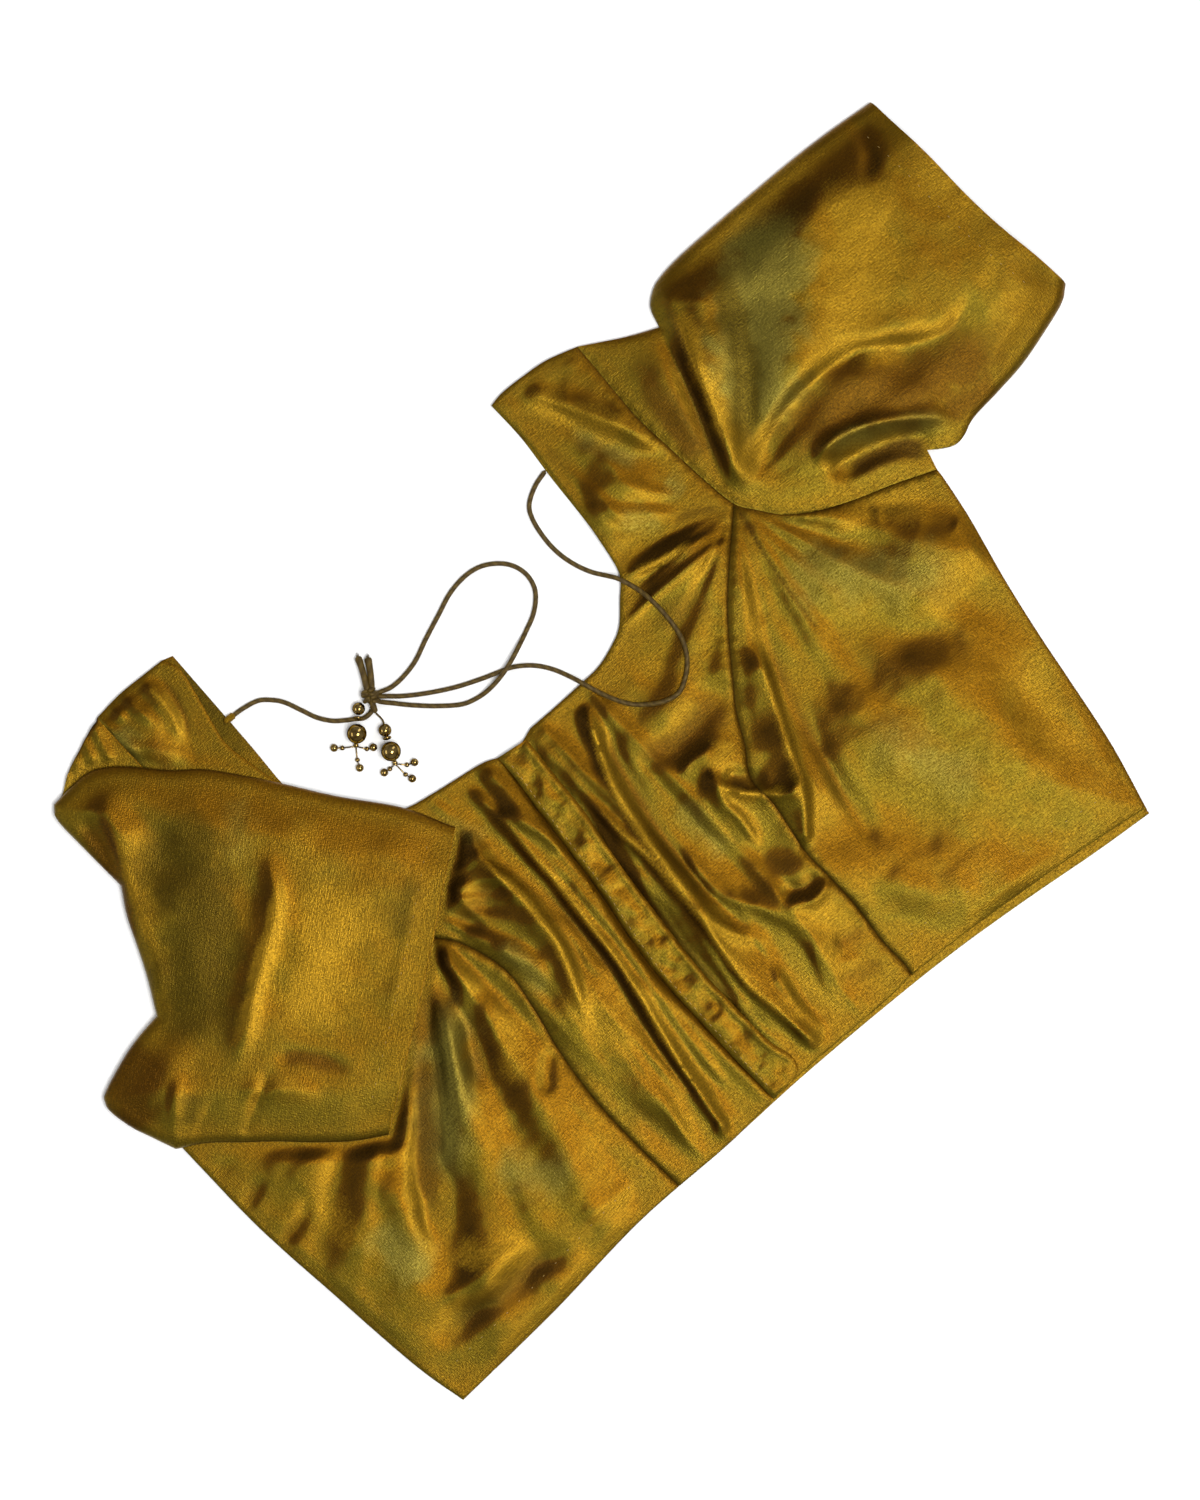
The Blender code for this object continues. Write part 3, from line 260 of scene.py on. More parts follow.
FRONT_PAINTED_LIGHT = [
    # the wearer's right front
    PaintedLight("dark", 0.68, 2.2, 3.2, 2, [(-25, 172), (-26, 136), (-27, 105), (-31.6, 81.6), (-34.7, 50),
                                     (-38, 14)]),
    PaintedLight("dark", 0.44, 1.6, 1.6, 2, [(-13, 150), (-13.4, 110), (-14.5, 60), (-12.5, 20)]),
    PaintedLight("brown", 0.72, 7, 5, 3, [(-70, 170), (-56, 168), (-38, 170)]),
    PaintedLight("dark", 0.4, 4, 3, 2, [(-43, 188), (-33, 168), (-33, 140), (-38, 118), (-50, 92)]),
    PaintedLight("gold", 0.8, 3.4, 2.4, 2, [(-47, 190), (-38.6, 176), (-36, 158), (-38, 136), (-43, 118), (-56, 88)]),
    PaintedLight("gold", 0.8, 2.2, 2.6, 2, [(-22, 200), (-20, 164), (-21, 130), (-22, 105), (-26, 80), (-31, 55),
                                    (-34, 20)]),
    PaintedLight("gold", 0.7, 7, 8, 2, [(-52, 118), (-46, 92), (-48, 60)]),
    PaintedLight("green", 0.7, 6, 6, 2, [(-62, 152), (-56, 132), (-57, 112)]),
    PaintedLight("brown", 0.48, 7, 7, 2, [(-58, 62), (-60, 38), (-56, 16)]),
    PaintedLight("green", 0.5, 6, 6, 2, [(-46, 212), (-36, 200), (-30, 184)]),
    PaintedLight("gold", 0.5, 5, 5, 2, [(-60, 216), (-52, 204)]),
    PaintedLight("dark", 0.4, 3, 3, 2, [(-16, 208), (-13, 196), (-12, 182)]),
    # the wearer's left front
    PaintedLight("dark", 0.64, 2.0, 2.6, 2, [(12.6, 202), (11.6, 170), (9, 142), (6.6, 111), (5.2, 82), (6, 58),
                                     (8, 32)]),
    PaintedLight("gold", 0.8, 2.2, 2.0, 2, [(16.6, 180), (17.4, 152), (19, 128), (19, 100), (17, 82), (15.8, 61),
                                    (18, 42), (22, 16)]),
    PaintedLight("dark", 0.64, 3.0, 4.4, 2, [(44, 202), (36, 174), (32, 150), (29, 128), (28, 104), (30, 86)]),
    PaintedLight("gold", 0.8, 3.4, 2.2, 2, [(45, 210), (35.6, 189), (28.4, 170.6), (25, 152), (22.6, 130),
                                    (22, 105), (23, 90)]),
    PaintedLight("dark", 0.4, 2.6, 2.6, 2, [(22, 196), (20, 170), (21, 150)]),
    PaintedLight("brown", 0.76, 8, 8, 3, [(42, 176), (58, 166), (78, 164), (98, 172)]),
    PaintedLight("green", 0.6, 7, 7, 2, [(44, 150), (46, 128), (48, 104)]),
    PaintedLight("gold", 0.8, 6, 5, 2, [(68, 150), (74, 145), (84, 152)]),
    PaintedLight("dark", 0.68, 3.4, 4.4, 2, [(69, 139), (76, 131), (86, 123)]),
    PaintedLight("gold", 0.8, 2.6, 2.4, 2, [(65, 138), (72, 126), (90, 114)]),
    PaintedLight("dark", 0.4, 3, 3, 2, [(58, 130), (56, 114), (57, 100)]),
    PaintedLight("brown", 0.64, 6, 6, 2, [(56, 82), (66, 74), (76, 78)]),
    PaintedLight("brown", 0.64, 5, 5, 2, [(54, 50), (66, 44), (76, 46)]),
    PaintedLight("brown", 0.56, 6, 5, 2, [(44, 36), (58, 28), (74, 28)]),
    PaintedLight("gold", 0.7, 4, 5, 2, [(48, 68), (62, 62), (74, 62)]),
    PaintedLight("gold", 0.5, 5, 5, 2, [(34, 50), (40, 30), (38, 16)]),
    # the left strap and neck
    PaintedLight("gold", 0.8, 10, 6, 2, [(112, 335), (120, 318), (130, 300), (138, 280)]),
    PaintedLight("green", 0.7, 5, 6, 2, [(119, 312), (127, 292), (135, 268)]),
    PaintedLight("brown", 0.48, 5, 5, 2, [(106, 316), (108, 290), (112, 268)]),
    PaintedLight("green", 0.6, 7, 7, 2, [(108, 262), (118, 252), (128, 246)]),
    PaintedLight("dark", 0.64, 2.0, 3.0, 2, [(126, 244), (140, 240), (152, 232)]),
    PaintedLight("gold", 0.8, 2.0, 3.0, 2, [(96, 238), (114, 233), (132, 230)]),
    PaintedLight("brown", 0.64, 4, 5, 2, [(98, 232), (116, 227), (140, 224)]),
    PaintedLight("brown", 0.64, 8, 7, 3, [(90, 214), (106, 208), (122, 204)]),
    PaintedLight("gold", 0.5, 5, 5, 2, [(58, 208), (72, 202), (86, 192)]),
    PaintedLight("green", 0.6, 8, 8, 2, [(138, 262), (143, 248)]),
    # the left side front
    PaintedLight("dark", 0.56, 5, 4, 2, [(128, 184), (122.5, 164), (115, 138), (108, 112), (102, 88), (100, 70)]),
    PaintedLight("gold", 0.6, 3, 3, 2, [(119, 172), (111, 153), (101, 131), (92, 111), (80, 92)]),
    PaintedLight("green", 0.7, 16, 16, 2, [(152, 205), (166, 180), (192, 154), (222, 138)]),
    PaintedLight("green", 0.6, 18, 14, 2, [(128, 118), (144, 84), (160, 50)]),
    PaintedLight("gold", 0.55, 16, 18, 2, [(196, 100), (200, 66), (192, 30)]),
    PaintedLight("gold", 0.6, 9, 9, 2, [(184, 196), (206, 186), (230, 170)]),
    PaintedLight("brown", 0.25, 7, 7, 2, [(84, 76), (88, 52), (94, 30)]),
    # the right side front
    PaintedLight("dark", 0.8, 6, 7, 3, [(-164, 64), (-159, 79), (-150.6, 93), (-139, 107), (-130, 118),
                                (-120, 129), (-108, 140)]),
    PaintedLight("brown", 0.72, 8, 9, 2, [(-120, 132), (-106, 143), (-90, 156)]),
    PaintedLight("green", 0.9, 12, 12, 2, [(-146, 70), (-138, 92), (-118, 116), (-100, 138), (-88, 152)]),
    PaintedLight("brown", 0.64, 6, 6, 2, [(-112, 98), (-100, 116), (-84, 138)]),
    PaintedLight("gold", 0.6, 8, 8, 2, [(-100, 92), (-86, 108), (-74, 126)]),
    PaintedLight("green", 0.85, 12, 12, 2, [(-184, 92), (-186, 70), (-182, 48)]),
    PaintedLight("gold", 0.7, 9, 9, 2, [(-170, 60), (-158, 44), (-130, 36)]),
    PaintedLight("gold", 0.6, 10, 10, 2, [(-206, 126), (-200, 104), (-202, 80)]),
    PaintedLight("green", 0.7, 10, 12, 2, [(-132, 76), (-116, 58), (-96, 44)]),
    PaintedLight("dark", 0.72, 7, 6, 3, [(-196, 26), (-178, 28), (-158, 24), (-142, 24), (-128, 16)]),
    PaintedLight("brown", 0.56, 5, 5, 2, [(-226, 132), (-212, 137)]),
    PaintedLight("brown", 0.56, 5, 5, 2, [(-224, 109), (-206, 114)]),
    # the right strap
    PaintedLight("dark", 0.64, 2.4, 2.4, 2, [(-98, 346), (-97, 335), (-100, 322), (-106, 310)]),
    PaintedLight("gold", 0.8, 2.4, 2.4, 2, [(-104, 346), (-104, 332), (-110, 316)]),
    PaintedLight("green", 0.8, 9, 9, 2, [(-128, 342), (-132, 328), (-140, 316)]),
    PaintedLight("brown", 0.64, 5, 6, 2, [(-119, 328), (-120, 314), (-124, 304)]),
]

LEFT_SLEEVE_PAINTED_LIGHT = [
    PaintedLight("gold", 0.9, 5, 4, 2, [(196, 324), (190, 305), (182, 285), (175, 265), (167, 247)]),
    PaintedLight("dark", 0.7, 3.0, 3.4, 2, [(183, 315), (176.7, 293), (170, 271.7), (162, 250), (157, 236)]),
    PaintedLight("brown", 0.8, 10, 6, 3, [(166, 312), (160, 293), (157, 270), (155, 250)]),
    PaintedLight("green", 1.0, 20, 18, 3, [(268, 322), (240, 306), (216, 287), (195, 265), (176, 246)]),
    PaintedLight("gold", 0.7, 8, 8, 2, [(200, 326), (226, 329), (256, 330), (300, 328)]),
    PaintedLight("olive", 1.0, 6, 7, 2.5, [(226, 324), (213, 300), (200, 276), (184, 255), (168, 240)]),
    PaintedLight("gold", 0.8, 18, 22, 2, [(302, 316), (280, 286), (256, 262), (228, 250)]),
    PaintedLight("gold", 0.6, 16, 14, 2, [(318, 300), (322, 276), (322, 252)]),
    PaintedLight("brown", 1.0, 13, 14, 4, [(174, 230), (196, 235), (222, 232), (246, 221), (270, 213), (294, 211),
                                   (310, 216)]),
    PaintedLight("brown", 0.8, 8, 8, 3, [(252, 200), (272, 196), (286, 198)]),
    PaintedLight("gold", 0.6, 5, 6, 2, [(300, 232), (314, 236), (324, 246)]),
    PaintedLight("green", 0.8, 5, 6, 2, [(192, 222), (213, 220), (231.7, 212), (246, 203), (260, 192)]),
    PaintedLight("dark", 1.0, 4, 5, 3, [(202, 209), (217, 205), (231, 199), (243, 192)]),
    PaintedLight("brown", 0.7, 5, 5, 2.5, [(310, 329), (306, 315), (296, 303)]),
]

RIGHT_SLEEVE_PAINTED_LIGHT = [
    PaintedLight("olive", 1.0, 19, 18, 3.5, [(-144, 308), (-143, 290), (-145, 264), (-156, 242), (-179, 220),
                                     (-206, 201)]),
    PaintedLight("brown", 0.9, 8, 7, 2, [(-168, 322), (-169, 300), (-180, 276), (-192, 250)]),
    PaintedLight("gold", 0.8, 3, 2.4, 2, [(-158.5, 310), (-160, 298), (-167, 284), (-175, 264), (-184, 244)]),
    PaintedLight("olive", 0.5, 8, 10, 2, [(-118, 252), (-140, 236), (-160, 222)]),
    PaintedLight("gold", 1.0, 4, 3, 2, [(-110, 241), (-121.7, 231), (-134, 221.5), (-149.4, 211.8), (-163, 202),
                                (-186, 190)]),
    PaintedLight("gold", 0.9, 15, 15, 2, [(-88, 222), (-112, 203), (-140, 186), (-160, 174)]),
    PaintedLight("green", 0.5, 12, 12, 2, [(-102, 282), (-116, 266), (-132, 256)]),
    PaintedLight("gold", 0.5, 12, 10, 2, [(-84, 256), (-98, 240), (-108, 226)]),
    PaintedLight("olive", 0.7, 7, 8, 2, [(-62, 200), (-80, 190), (-96, 176)]),
    PaintedLight("brown", 0.8, 3.6, 4.4, 3, [(-171, 176), (-161, 169), (-152, 157), (-148, 150)]),
    PaintedLight("brown", 0.5, 2, 3, 2, [(-172, 177), (-188, 168), (-202, 160)]),
    PaintedLight("gold", 0.6, 6, 6, 2, [(-188, 178), (-176, 166), (-166, 150)]),
    PaintedLight("brown", 1.0, 13, 13, 3, [(-238, 184), (-234, 200), (-226, 210), (-206, 219)]),
    PaintedLight("olive", 0.8, 8, 6, 2, [(-222, 176), (-208, 190)]),
]


# ---------------------------------------------------------------- drawing the plan


def smooth(points, step=3.0):
    """A Catmull-Rom curve through the points, about step apart."""
    spots = np.array(points, float)
    ends = np.vstack((2 * spots[0] - spots[1], spots, 2 * spots[-1] - spots[-2]))
    curve = []
    for a, b, c, d in zip(ends, ends[1:], ends[2:], ends[3:]):
        count = max(1, round(np.linalg.norm(c - b) / step))
        t = np.arange(count)[:, None] / count
        bend = (-a + 3 * b - 3 * c + d) * t**3 + (2 * a - 5 * b + 4 * c - d) * t**2
        curve.append((bend + (c - a) * t + 2 * b) / 2)
    return np.vstack((*curve, spots[-1:]))


def outline(*seams):
    """One closed outline, counter-clockwise, from seam lines that each start or end where the last ended."""
    lines = [smooth(seam, STEP) for seam in seams]
    first, second = lines[0], lines[1]
    to_start = min(np.linalg.norm(first[0] - second[k]) for k in (0, -1))
    to_end = min(np.linalg.norm(first[-1] - second[k]) for k in (0, -1))
    joined = [first[::-1] if to_start < to_end else first]
    for line in lines[1:]:
        last = joined[-1][-1]
        line = line[::-1] if np.linalg.norm(line[-1] - last) < np.linalg.norm(line[0] - last) else line
        joined.append(line[1:] if np.linalg.norm(line[0] - last) < STEP / 3 else line)
    ring = np.vstack(joined)
    if np.linalg.norm(ring[0] - ring[-1]) < STEP / 3:
        ring = ring[:-1]
    after = np.roll(ring, -1, 0)
    area = np.sum(ring[:, 0] * after[:, 1] - after[:, 0] * ring[:, 1])
    return ring if area > 0 else ring[::-1]


def near(points, line):
    """(distance, side, share) of each point from a line: side is 1 on its left and -1 on its right."""
    best = np.full(len(points), np.inf)
    side, share = np.zeros(len(points)), np.zeros(len(points))
    lengths = np.linalg.norm(np.diff(line, axis=0), axis=1)
    run = 0.0
    for a, b, length in zip(line, line[1:], lengths):
        along = (b - a) / max(length, 1e-9)
        off = points - a
        t = np.clip(off @ along, 0, length)
        gap = off - t[:, None] * along
        distance = np.hypot(gap[:, 0], gap[:, 1])
        closer = distance < best
        best[closer] = distance[closer]
        side[closer] = np.sign(along[0] * off[closer, 1] - along[1] * off[closer, 0])
        share[closer] = (run + t[closer]) / lengths.sum()
        run += length
    return best, side, share


def inside(points, ring):
    found = np.zeros(len(points), bool)
    x, y = points[:, 0], points[:, 1]
    for a, b in zip(ring, np.roll(ring, -1, 0)):
        if a[1] != b[1]:
            found ^= ((a[1] > y) != (b[1] > y)) & (x < a[0] + (y - a[1]) * (b[0] - a[0]) / (b[1] - a[1]))
    return found


def ease(value):
    value = np.clip(value, 0, 1)
    return value * value * (3 - 2 * value)


def rough(points, size, seed):
    """Smooth noise from -1 to 1, whose lumps are about size across."""
    return np.array([noise.noise((x / size, y / size, seed)) for x, y in points])


def grain_of(points, wide, long, angle, seed):
    """Noise drawn out into lines: wide across them and long along them."""
    turn = math.radians(angle)
    along = points @ np.array((math.cos(turn), math.sin(turn))) / long
    across = points @ np.array((-math.sin(turn), math.cos(turn))) / wide
    return np.array([noise.noise((a, b, seed)) for a, b in zip(along, across)])


def crests(fan):
    """Noise turned to sharp crests with hollows between them, from -1 to 1."""
    return 1 - np.minimum(np.abs(fan) * 5.5, 2)


def pulls(points, corner, lines, seed):
    """Noise in rays that fan out from a corner, over about a right angle for that many lines."""
    off = points - np.array(corner)
    turn = np.arctan2(off[:, 1], off[:, 0]) * lines / 1.6
    far = np.hypot(off[:, 0], off[:, 1])
    fan = np.array([noise.noise((t, f, seed)) for t, f in zip(turn, far / 90)])
    return fan * ease(far / 45)


def pressed(points, creases):
    """What the creases add to the height of each point."""
    total = np.zeros(len(points))
    for number, crease in enumerate(creases):
        line = smooth(crease.path, 4.0)
        reach = 3 * max(crease.left, crease.right)
        box = np.all((points > line.min(0) - reach) & (points < line.max(0) + reach), axis=1)
        if not box.any():
            continue
        spots = points[box]
        distance, side, share = near(spots, line)
        width = np.where(side > 0, crease.left, crease.right)
        uneven = 1 + 0.22 * rough(spots, 14.0, number + 0.5)
        crest = np.exp(-((np.sqrt(distance**2 + 0.16) / (width * uneven)) ** crease.power))
        rise = ease(share / crease.start) if crease.start else 1.0
        fall = ease((1 - share) / crease.end) if crease.end else 1.0
        total[box] += crease.height * uneven * crest * rise * fall
    return total


EDGES = [smooth(line) for line in (HEM, SIDE_LEFT, SIDE_RIGHT, SHOULDER_LEFT, SHOULDER_RIGHT, NECK_LEFT,
                                   NECK_RIGHT)]
SEAMS = [smooth(line) for line in (PRINCESS_LEFT, PRINCESS_RIGHT, ARMHOLE_LEFT)]
DART = smooth([(155, 229), (151.4, 207.8), (149, 190.6), (146.7, 164)])
FOLDED = outline(RIGHT_CUFF, RIGHT_UNDER, RIGHT_LOBE, RIGHT_TURN, RIGHT_END, RIGHT_TOP)
BAND = outline(BAND_SEAM, BAND_EDGE)


def closed(ring):
    """The ring with its first point again at its end."""
    return np.vstack((ring, ring[:1]))


def from_lines(points, lines):
    """How far each point is from the nearest of the lines."""
    return np.min([near(points, line)[0] for line in lines], axis=0)


def clear_of(points, ring, margin, width):
    """0 in the ring and up to a margin outside it, rising to 1 over a width past that."""
    outside = ease((near(points, closed(ring))[0] - margin) / width)
    return np.where(inside(points, ring), 0.0, outside)


def seam_height(points, line, depth):
    """A sunk seam: a narrow groove, and small uneven puckers across it."""
    distance, _, share = near(points, line)
    length = np.linalg.norm(np.diff(line, axis=0), axis=1).sum()
    beat = np.sin(share * length / 1.15 + 2.2 * np.sin(share * length / 9.0))
    return -depth * np.exp(-((distance / 1.3) ** 2)) + 0.16 * beat * np.exp(-((distance / 3.6) ** 2))


RIGHT_PULL = (-78, 190)  # where the right front is pulled from, beside the folded sleeve


def front_height(points):
    """Top of the fronts, in millimetres."""
    loft = 2.6 * ease(from_lines(points, EDGES + SEAMS[2:]) / 42)
    height = loft + pressed(points, FRONT_CREASES)
    height += 1.3 * rough(points, 42.0, 12.6) + 0.5 * rough(points, 19.0, 3.1)
    height += 0.16 * rough(points, 6.5, 8.2)
    near_band = ease(1.15 - np.abs(points[:, 0]) / 75)
    height += near_band * (1.7 * crests(grain_of(points, 21.0, 260.0, 90, 2.4))
                           + 0.6 * crests(grain_of(points, 11.0, 90.0, 87, 7.7)))
    height += (1 - near_band) * (2.6 * pulls(points, BUST_LEFT, 8, 1.8)
                                 + 3.4 * pulls(points, RIGHT_PULL, 10, 5.2))
    height *= ease(from_lines(points, EDGES) / 7) * 0.75 + 0.25
    height *= clear_of(points, FOLDED, 1.0, 9.0) * clear_of(points, BAND, -0.5, 2.5)
    height = FRONT_LOW + 0.5 * (height + np.sqrt(height**2 + 0.6))
    for seam in SEAMS:
        height += seam_height(points, seam, 0.5)
    height -= 0.3 * np.exp(-((near(points, DART)[0] / 1.0) ** 2))
    return np.maximum(height, BACK_TOP + CLOTH + 0.1)


def band_height(points):
    """Top of the hook band, which lies on the fronts and puckers over each hook, in millimetres."""
    distance = near(points, smooth(BAND_EDGE[:-2]))[0]
    seam = near(points, smooth(BAND_SEAM))[0]
    height = FRONT_LOW + 1.9 + 0.9 * rough(points, 10.0, 5.0) + 0.3 * rough(points, 4.0, 9.1)
    for level, depth in BAND_DIMPLES:
        slant = points[:, 1] - level - 3.5 * rough(points, 7.0, level)
        height += depth * (np.exp(-(((slant - 6) / 5.0) ** 2)) - np.exp(-((slant / 5.5) ** 2))) * 0.2
    height -= 0.7 * np.exp(-((seam / 1.2) ** 2))
    return np.maximum(height + 0.5 * np.exp(-((distance - 2.0) / 1.4) ** 2), FRONT_LOW + 1.0)


LEFT_SEAM = smooth(ARMHOLE_LEFT)
LEFT_FOLDED = [smooth(line) for line in (LEFT_TOP, LEFT_UNDER, LEFT_CAP)]
RIGHT_FOLDED = [smooth(line) for line in (RIGHT_UNDER, RIGHT_LOBE, RIGHT_TURN, RIGHT_END, RIGHT_TOP)]


def roll(distance, radius):
    """A quarter-round rise from 0 at a folded edge to 1 at radius inside it."""
    return np.sqrt(np.clip(1 - (1 - np.clip(distance / radius, 0, 1)) ** 2, 0, 1))


def left_sleeve_height(points):
    """Top of the laid-out sleeve: a low crown that sinks to the armhole and rounds off at its folds."""
    seam = near(points, LEFT_SEAM)[0]
    edge = from_lines(points, LEFT_FOLDED)
    crown = 9.0 * (0.15 + 0.85 * ease(seam / 60)) + 0.9 * pressed(points, LEFT_SLEEVE_CREASES)
    crown += 0.9 * pulls(points, BUST_LEFT, 8, 3.7) + 0.6 * rough(points, 24.0, 1.7)
    crown += 0.16 * rough(points, 7.0, 4.4)
    crown = 0.5 * (crown + np.sqrt(crown**2 + 2.0))
    height = FRONT_LOW + roll(edge, 5) * (0.4 + 0.6 * ease(edge / 30)) * ease((seam + 2.0) / 16) * crown
    return np.maximum(height + seam_height(points, LEFT_SEAM, 0.75), 1.8)


def right_sleeve_height(points):
    """Top of the folded sleeve, which lies on the front."""
    edge = from_lines(points, RIGHT_FOLDED)
    crown = 5.4 + 0.8 * pressed(points, RIGHT_SLEEVE_CREASES)
    crown += 1.1 * rough(points, 40.0, 6.3) + 0.3 * rough(points, 14.0, 2.9)
    crown = 0.5 * (crown + np.sqrt(crown**2 + 2.0))
    return FOLDED_UNDER + 1.4 + roll(edge, 5) * (0.45 + 0.55 * ease(edge / 26)) * crown


# ---------------------------------------------------------------- meshes


def lattice(ring, step):
    """Staggered points inside a ring, clear of its edge, and a row along the lip."""
    low, high = ring.min(0), ring.max(0)
    rows = np.arange(low[1], high[1], step * 0.866)
    across = np.arange(low[0], high[0], step)
    points = np.vstack([np.column_stack((across + (k % 2) * step / 2, np.full(len(across), y)))
                        for k, y in enumerate(rows)])
    points = points[inside(points, ring)]
    rim = closed(ring)
    points = points[near(points, rim)[0] > LIP + step * 0.45]
    along = np.roll(ring, -1, 0) - np.roll(ring, 1, 0)
    along /= np.linalg.norm(along, axis=1)[:, None]
    lip = ring + LIP * np.column_stack((-along[:, 1], along[:, 0]))
    lip = lip[inside(lip, ring) & (near(lip, rim)[0] > LIP * 0.8)]
    return np.vstack((lip, points))


def flat_mesh(ring, step=STEP):
    """(points, triangles, ring edges) of the plan shape."""
    points = np.vstack((ring, lattice(ring, step)))
    count = len(ring)
    edges = [(k, (k + 1) % count) for k in range(count)]
    spots, _, triangles, *_ = delaunay_2d_cdt([Vector(p) for p in points], edges, [], 1, 1e-6)
    return np.array([tuple(p) for p in spots]), [tuple(t) for t in triangles], edges


def new_object(name, points, faces, finish):
    mesh = bpy.data.meshes.new(name)
    mesh.from_pydata([tuple(p) for p in points], [], faces)
    mesh.update()
    made = bpy.data.objects.new(name, mesh)
    bpy.context.collection.objects.link(made)
    mesh.materials.append(finish)
    return made


def apply_all(piece):
    bpy.ops.object.select_all(action="DESELECT")
    piece.select_set(True)
    bpy.context.view_layer.objects.active = piece
    for modifier in list(piece.modifiers):
        bpy.ops.object.modifier_apply(modifier=modifier.name)
    bpy.ops.object.shade_smooth_by_angle(angle=math.radians(50))
    piece.select_set(False)


PAINTED_HUES = ("green", "gold", "olive", "brown", "dark")


def point_values(mesh, name, values):
    mesh.attributes.new(name, "FLOAT", "POINT").data.foreach_set("value", values)


def finish_cloth(piece, grain, painted_light, rims, seams=(), fade=8):
    """Gives a cloth its thickness, its weave's direction, and the painted light, shade and sheen of its
    slopes and folds.

    The painted light and shade on its slopes fade out over the last stretch, fade wide, before its rims.
    """
    solid = piece.modifiers.new("thickness", "SOLIDIFY")
    solid.thickness = CLOTH * MM
    solid.offset = -1
    apply_all(piece)
    mesh = piece.data
    spots = np.empty(len(mesh.vertices) * 3)
    mesh.vertices.foreach_get("co", spots)
    spots = spots.reshape(-1, 3)
    spots[:, 2] = np.maximum(spots[:, 2], 0.02 * MM)
    mesh.vertices.foreach_set("co", spots.ravel())
    mesh.update()
    corners = np.empty(len(mesh.loops), np.int32)
    mesh.loops.foreach_get("vertex_index", corners)
    turn = np.array(Matrix.Rotation(-math.radians(grain), 2))
    uv = spots[:, :2] @ turn.T * 10
    mesh.uv_layers.new(name="weave").data.foreach_set("uv", uv[corners].ravel())
    normals = np.empty(len(mesh.vertices) * 3)
    mesh.vertices.foreach_get("normal", normals)
    leans = normals.reshape(-1, 3)[:, :2] @ np.array((PAINTED_SHADE_TOWARDS, GREEN_SHEEN_TOWARDS)).T
    plan = spots[:, :2] / MM + PLAN_CENTRE
    inner = 0.2 + 0.8 * ease(from_lines(plan, rims) / fade)
    # painted light and shade: slopes darker where they face away from the key light and brighter where they
    # face it, less so near the rims
    painted_lighting = LEVEL_PAINTED_LIGHTING + PAINTED_LIGHTING_GAIN * np.clip(leans[:, 0], -STEEPEST, STEEPEST) * inner
    point_values(mesh, "painted_lighting", np.clip(painted_lighting, 0, 1))
    # painted sheen: which of the shot silk's warp and weft colours shows, by the way each slope faces
    point_values(mesh, "shot", np.clip(0.5 + SHOT_SHEEN_GAIN * leans[:, 1] * inner, 0, 1))
    # painted light, shade and sheen laid along the folds by the tables
    for hue in PAINTED_HUES:
        point_values(mesh, hue, painted_light_share(plan, painted_light, hue))
    # painted shade along the sunk seams
    sewn = from_lines(plan, seams) if len(seams) else np.full(len(plan), 99.0)
    point_values(mesh, "seam", np.exp(-((sewn / 0.9) ** 2)))


PAINTED_SHADE_TOWARDS = (-0.28, 0.96)  # painted shade on slopes that face this way, away from the key light; painted gold highlight on the others
PAINTED_LIGHTING_GAIN = 1.3
LEVEL_PAINTED_LIGHTING = 0.47  # the painted lighting of level cloth
STEEPEST = 0.3  # lean past which a slope's painted light and shade grow no further
GREEN_SHEEN_TOWARDS = (-0.96, -0.28)  # painted sheen: slopes that face this way are painted in the green weft's colour, and the others in the warp's
SHOT_SHEEN_GAIN = 2.2


def declare(piece, node):
    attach(piece, "root")
    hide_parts(node)


def flat_area(ring):
    """The area inside a pattern piece's outline laid flat, in square metres."""
    following = np.roll(ring, -1, 0)
    return float(abs((ring[:, 0] * following[:, 1] - following[:, 0] * ring[:, 1]).sum()) / 2 * MM**2)


def cut_cloth(name, node, ring, height, grain, painted_light, step=STEP, seams=()):
    """One flat-cut piece of cloth on the surface that height gives."""
    points, triangles, _ = flat_mesh(ring, step)
    heights = height(points)
    heights -= 0.4 * np.clip(1 - near(points, closed(ring))[0] / LIP, 0, 1) ** 2
    heights = np.maximum(heights, CLOTH + 0.05)
    piece = new_object(name, to_frame(np.column_stack((points, heights))), triangles, silk)
    finish_cloth(piece, grain, painted_light, [closed(ring)], seams)
    declare(piece, node)
    return piece


def shrunk(ring, distance, kept):
    """A ring moved inwards by a distance, but for the stretch along a kept line."""
    along = np.roll(ring, -2, 0) - np.roll(ring, 2, 0)
    along /= np.linalg.norm(along, axis=1)[:, None]
    moved = ring + distance * np.column_stack((-along[:, 1], along[:, 0]))
    at_seam = near(ring, smooth(kept))[0] < 1
    moved[at_seam] = ring[at_seam]
    return moved[at_seam | (near(moved, closed(ring))[0] > distance * 0.9)]


SLEEVE_FADE = 24


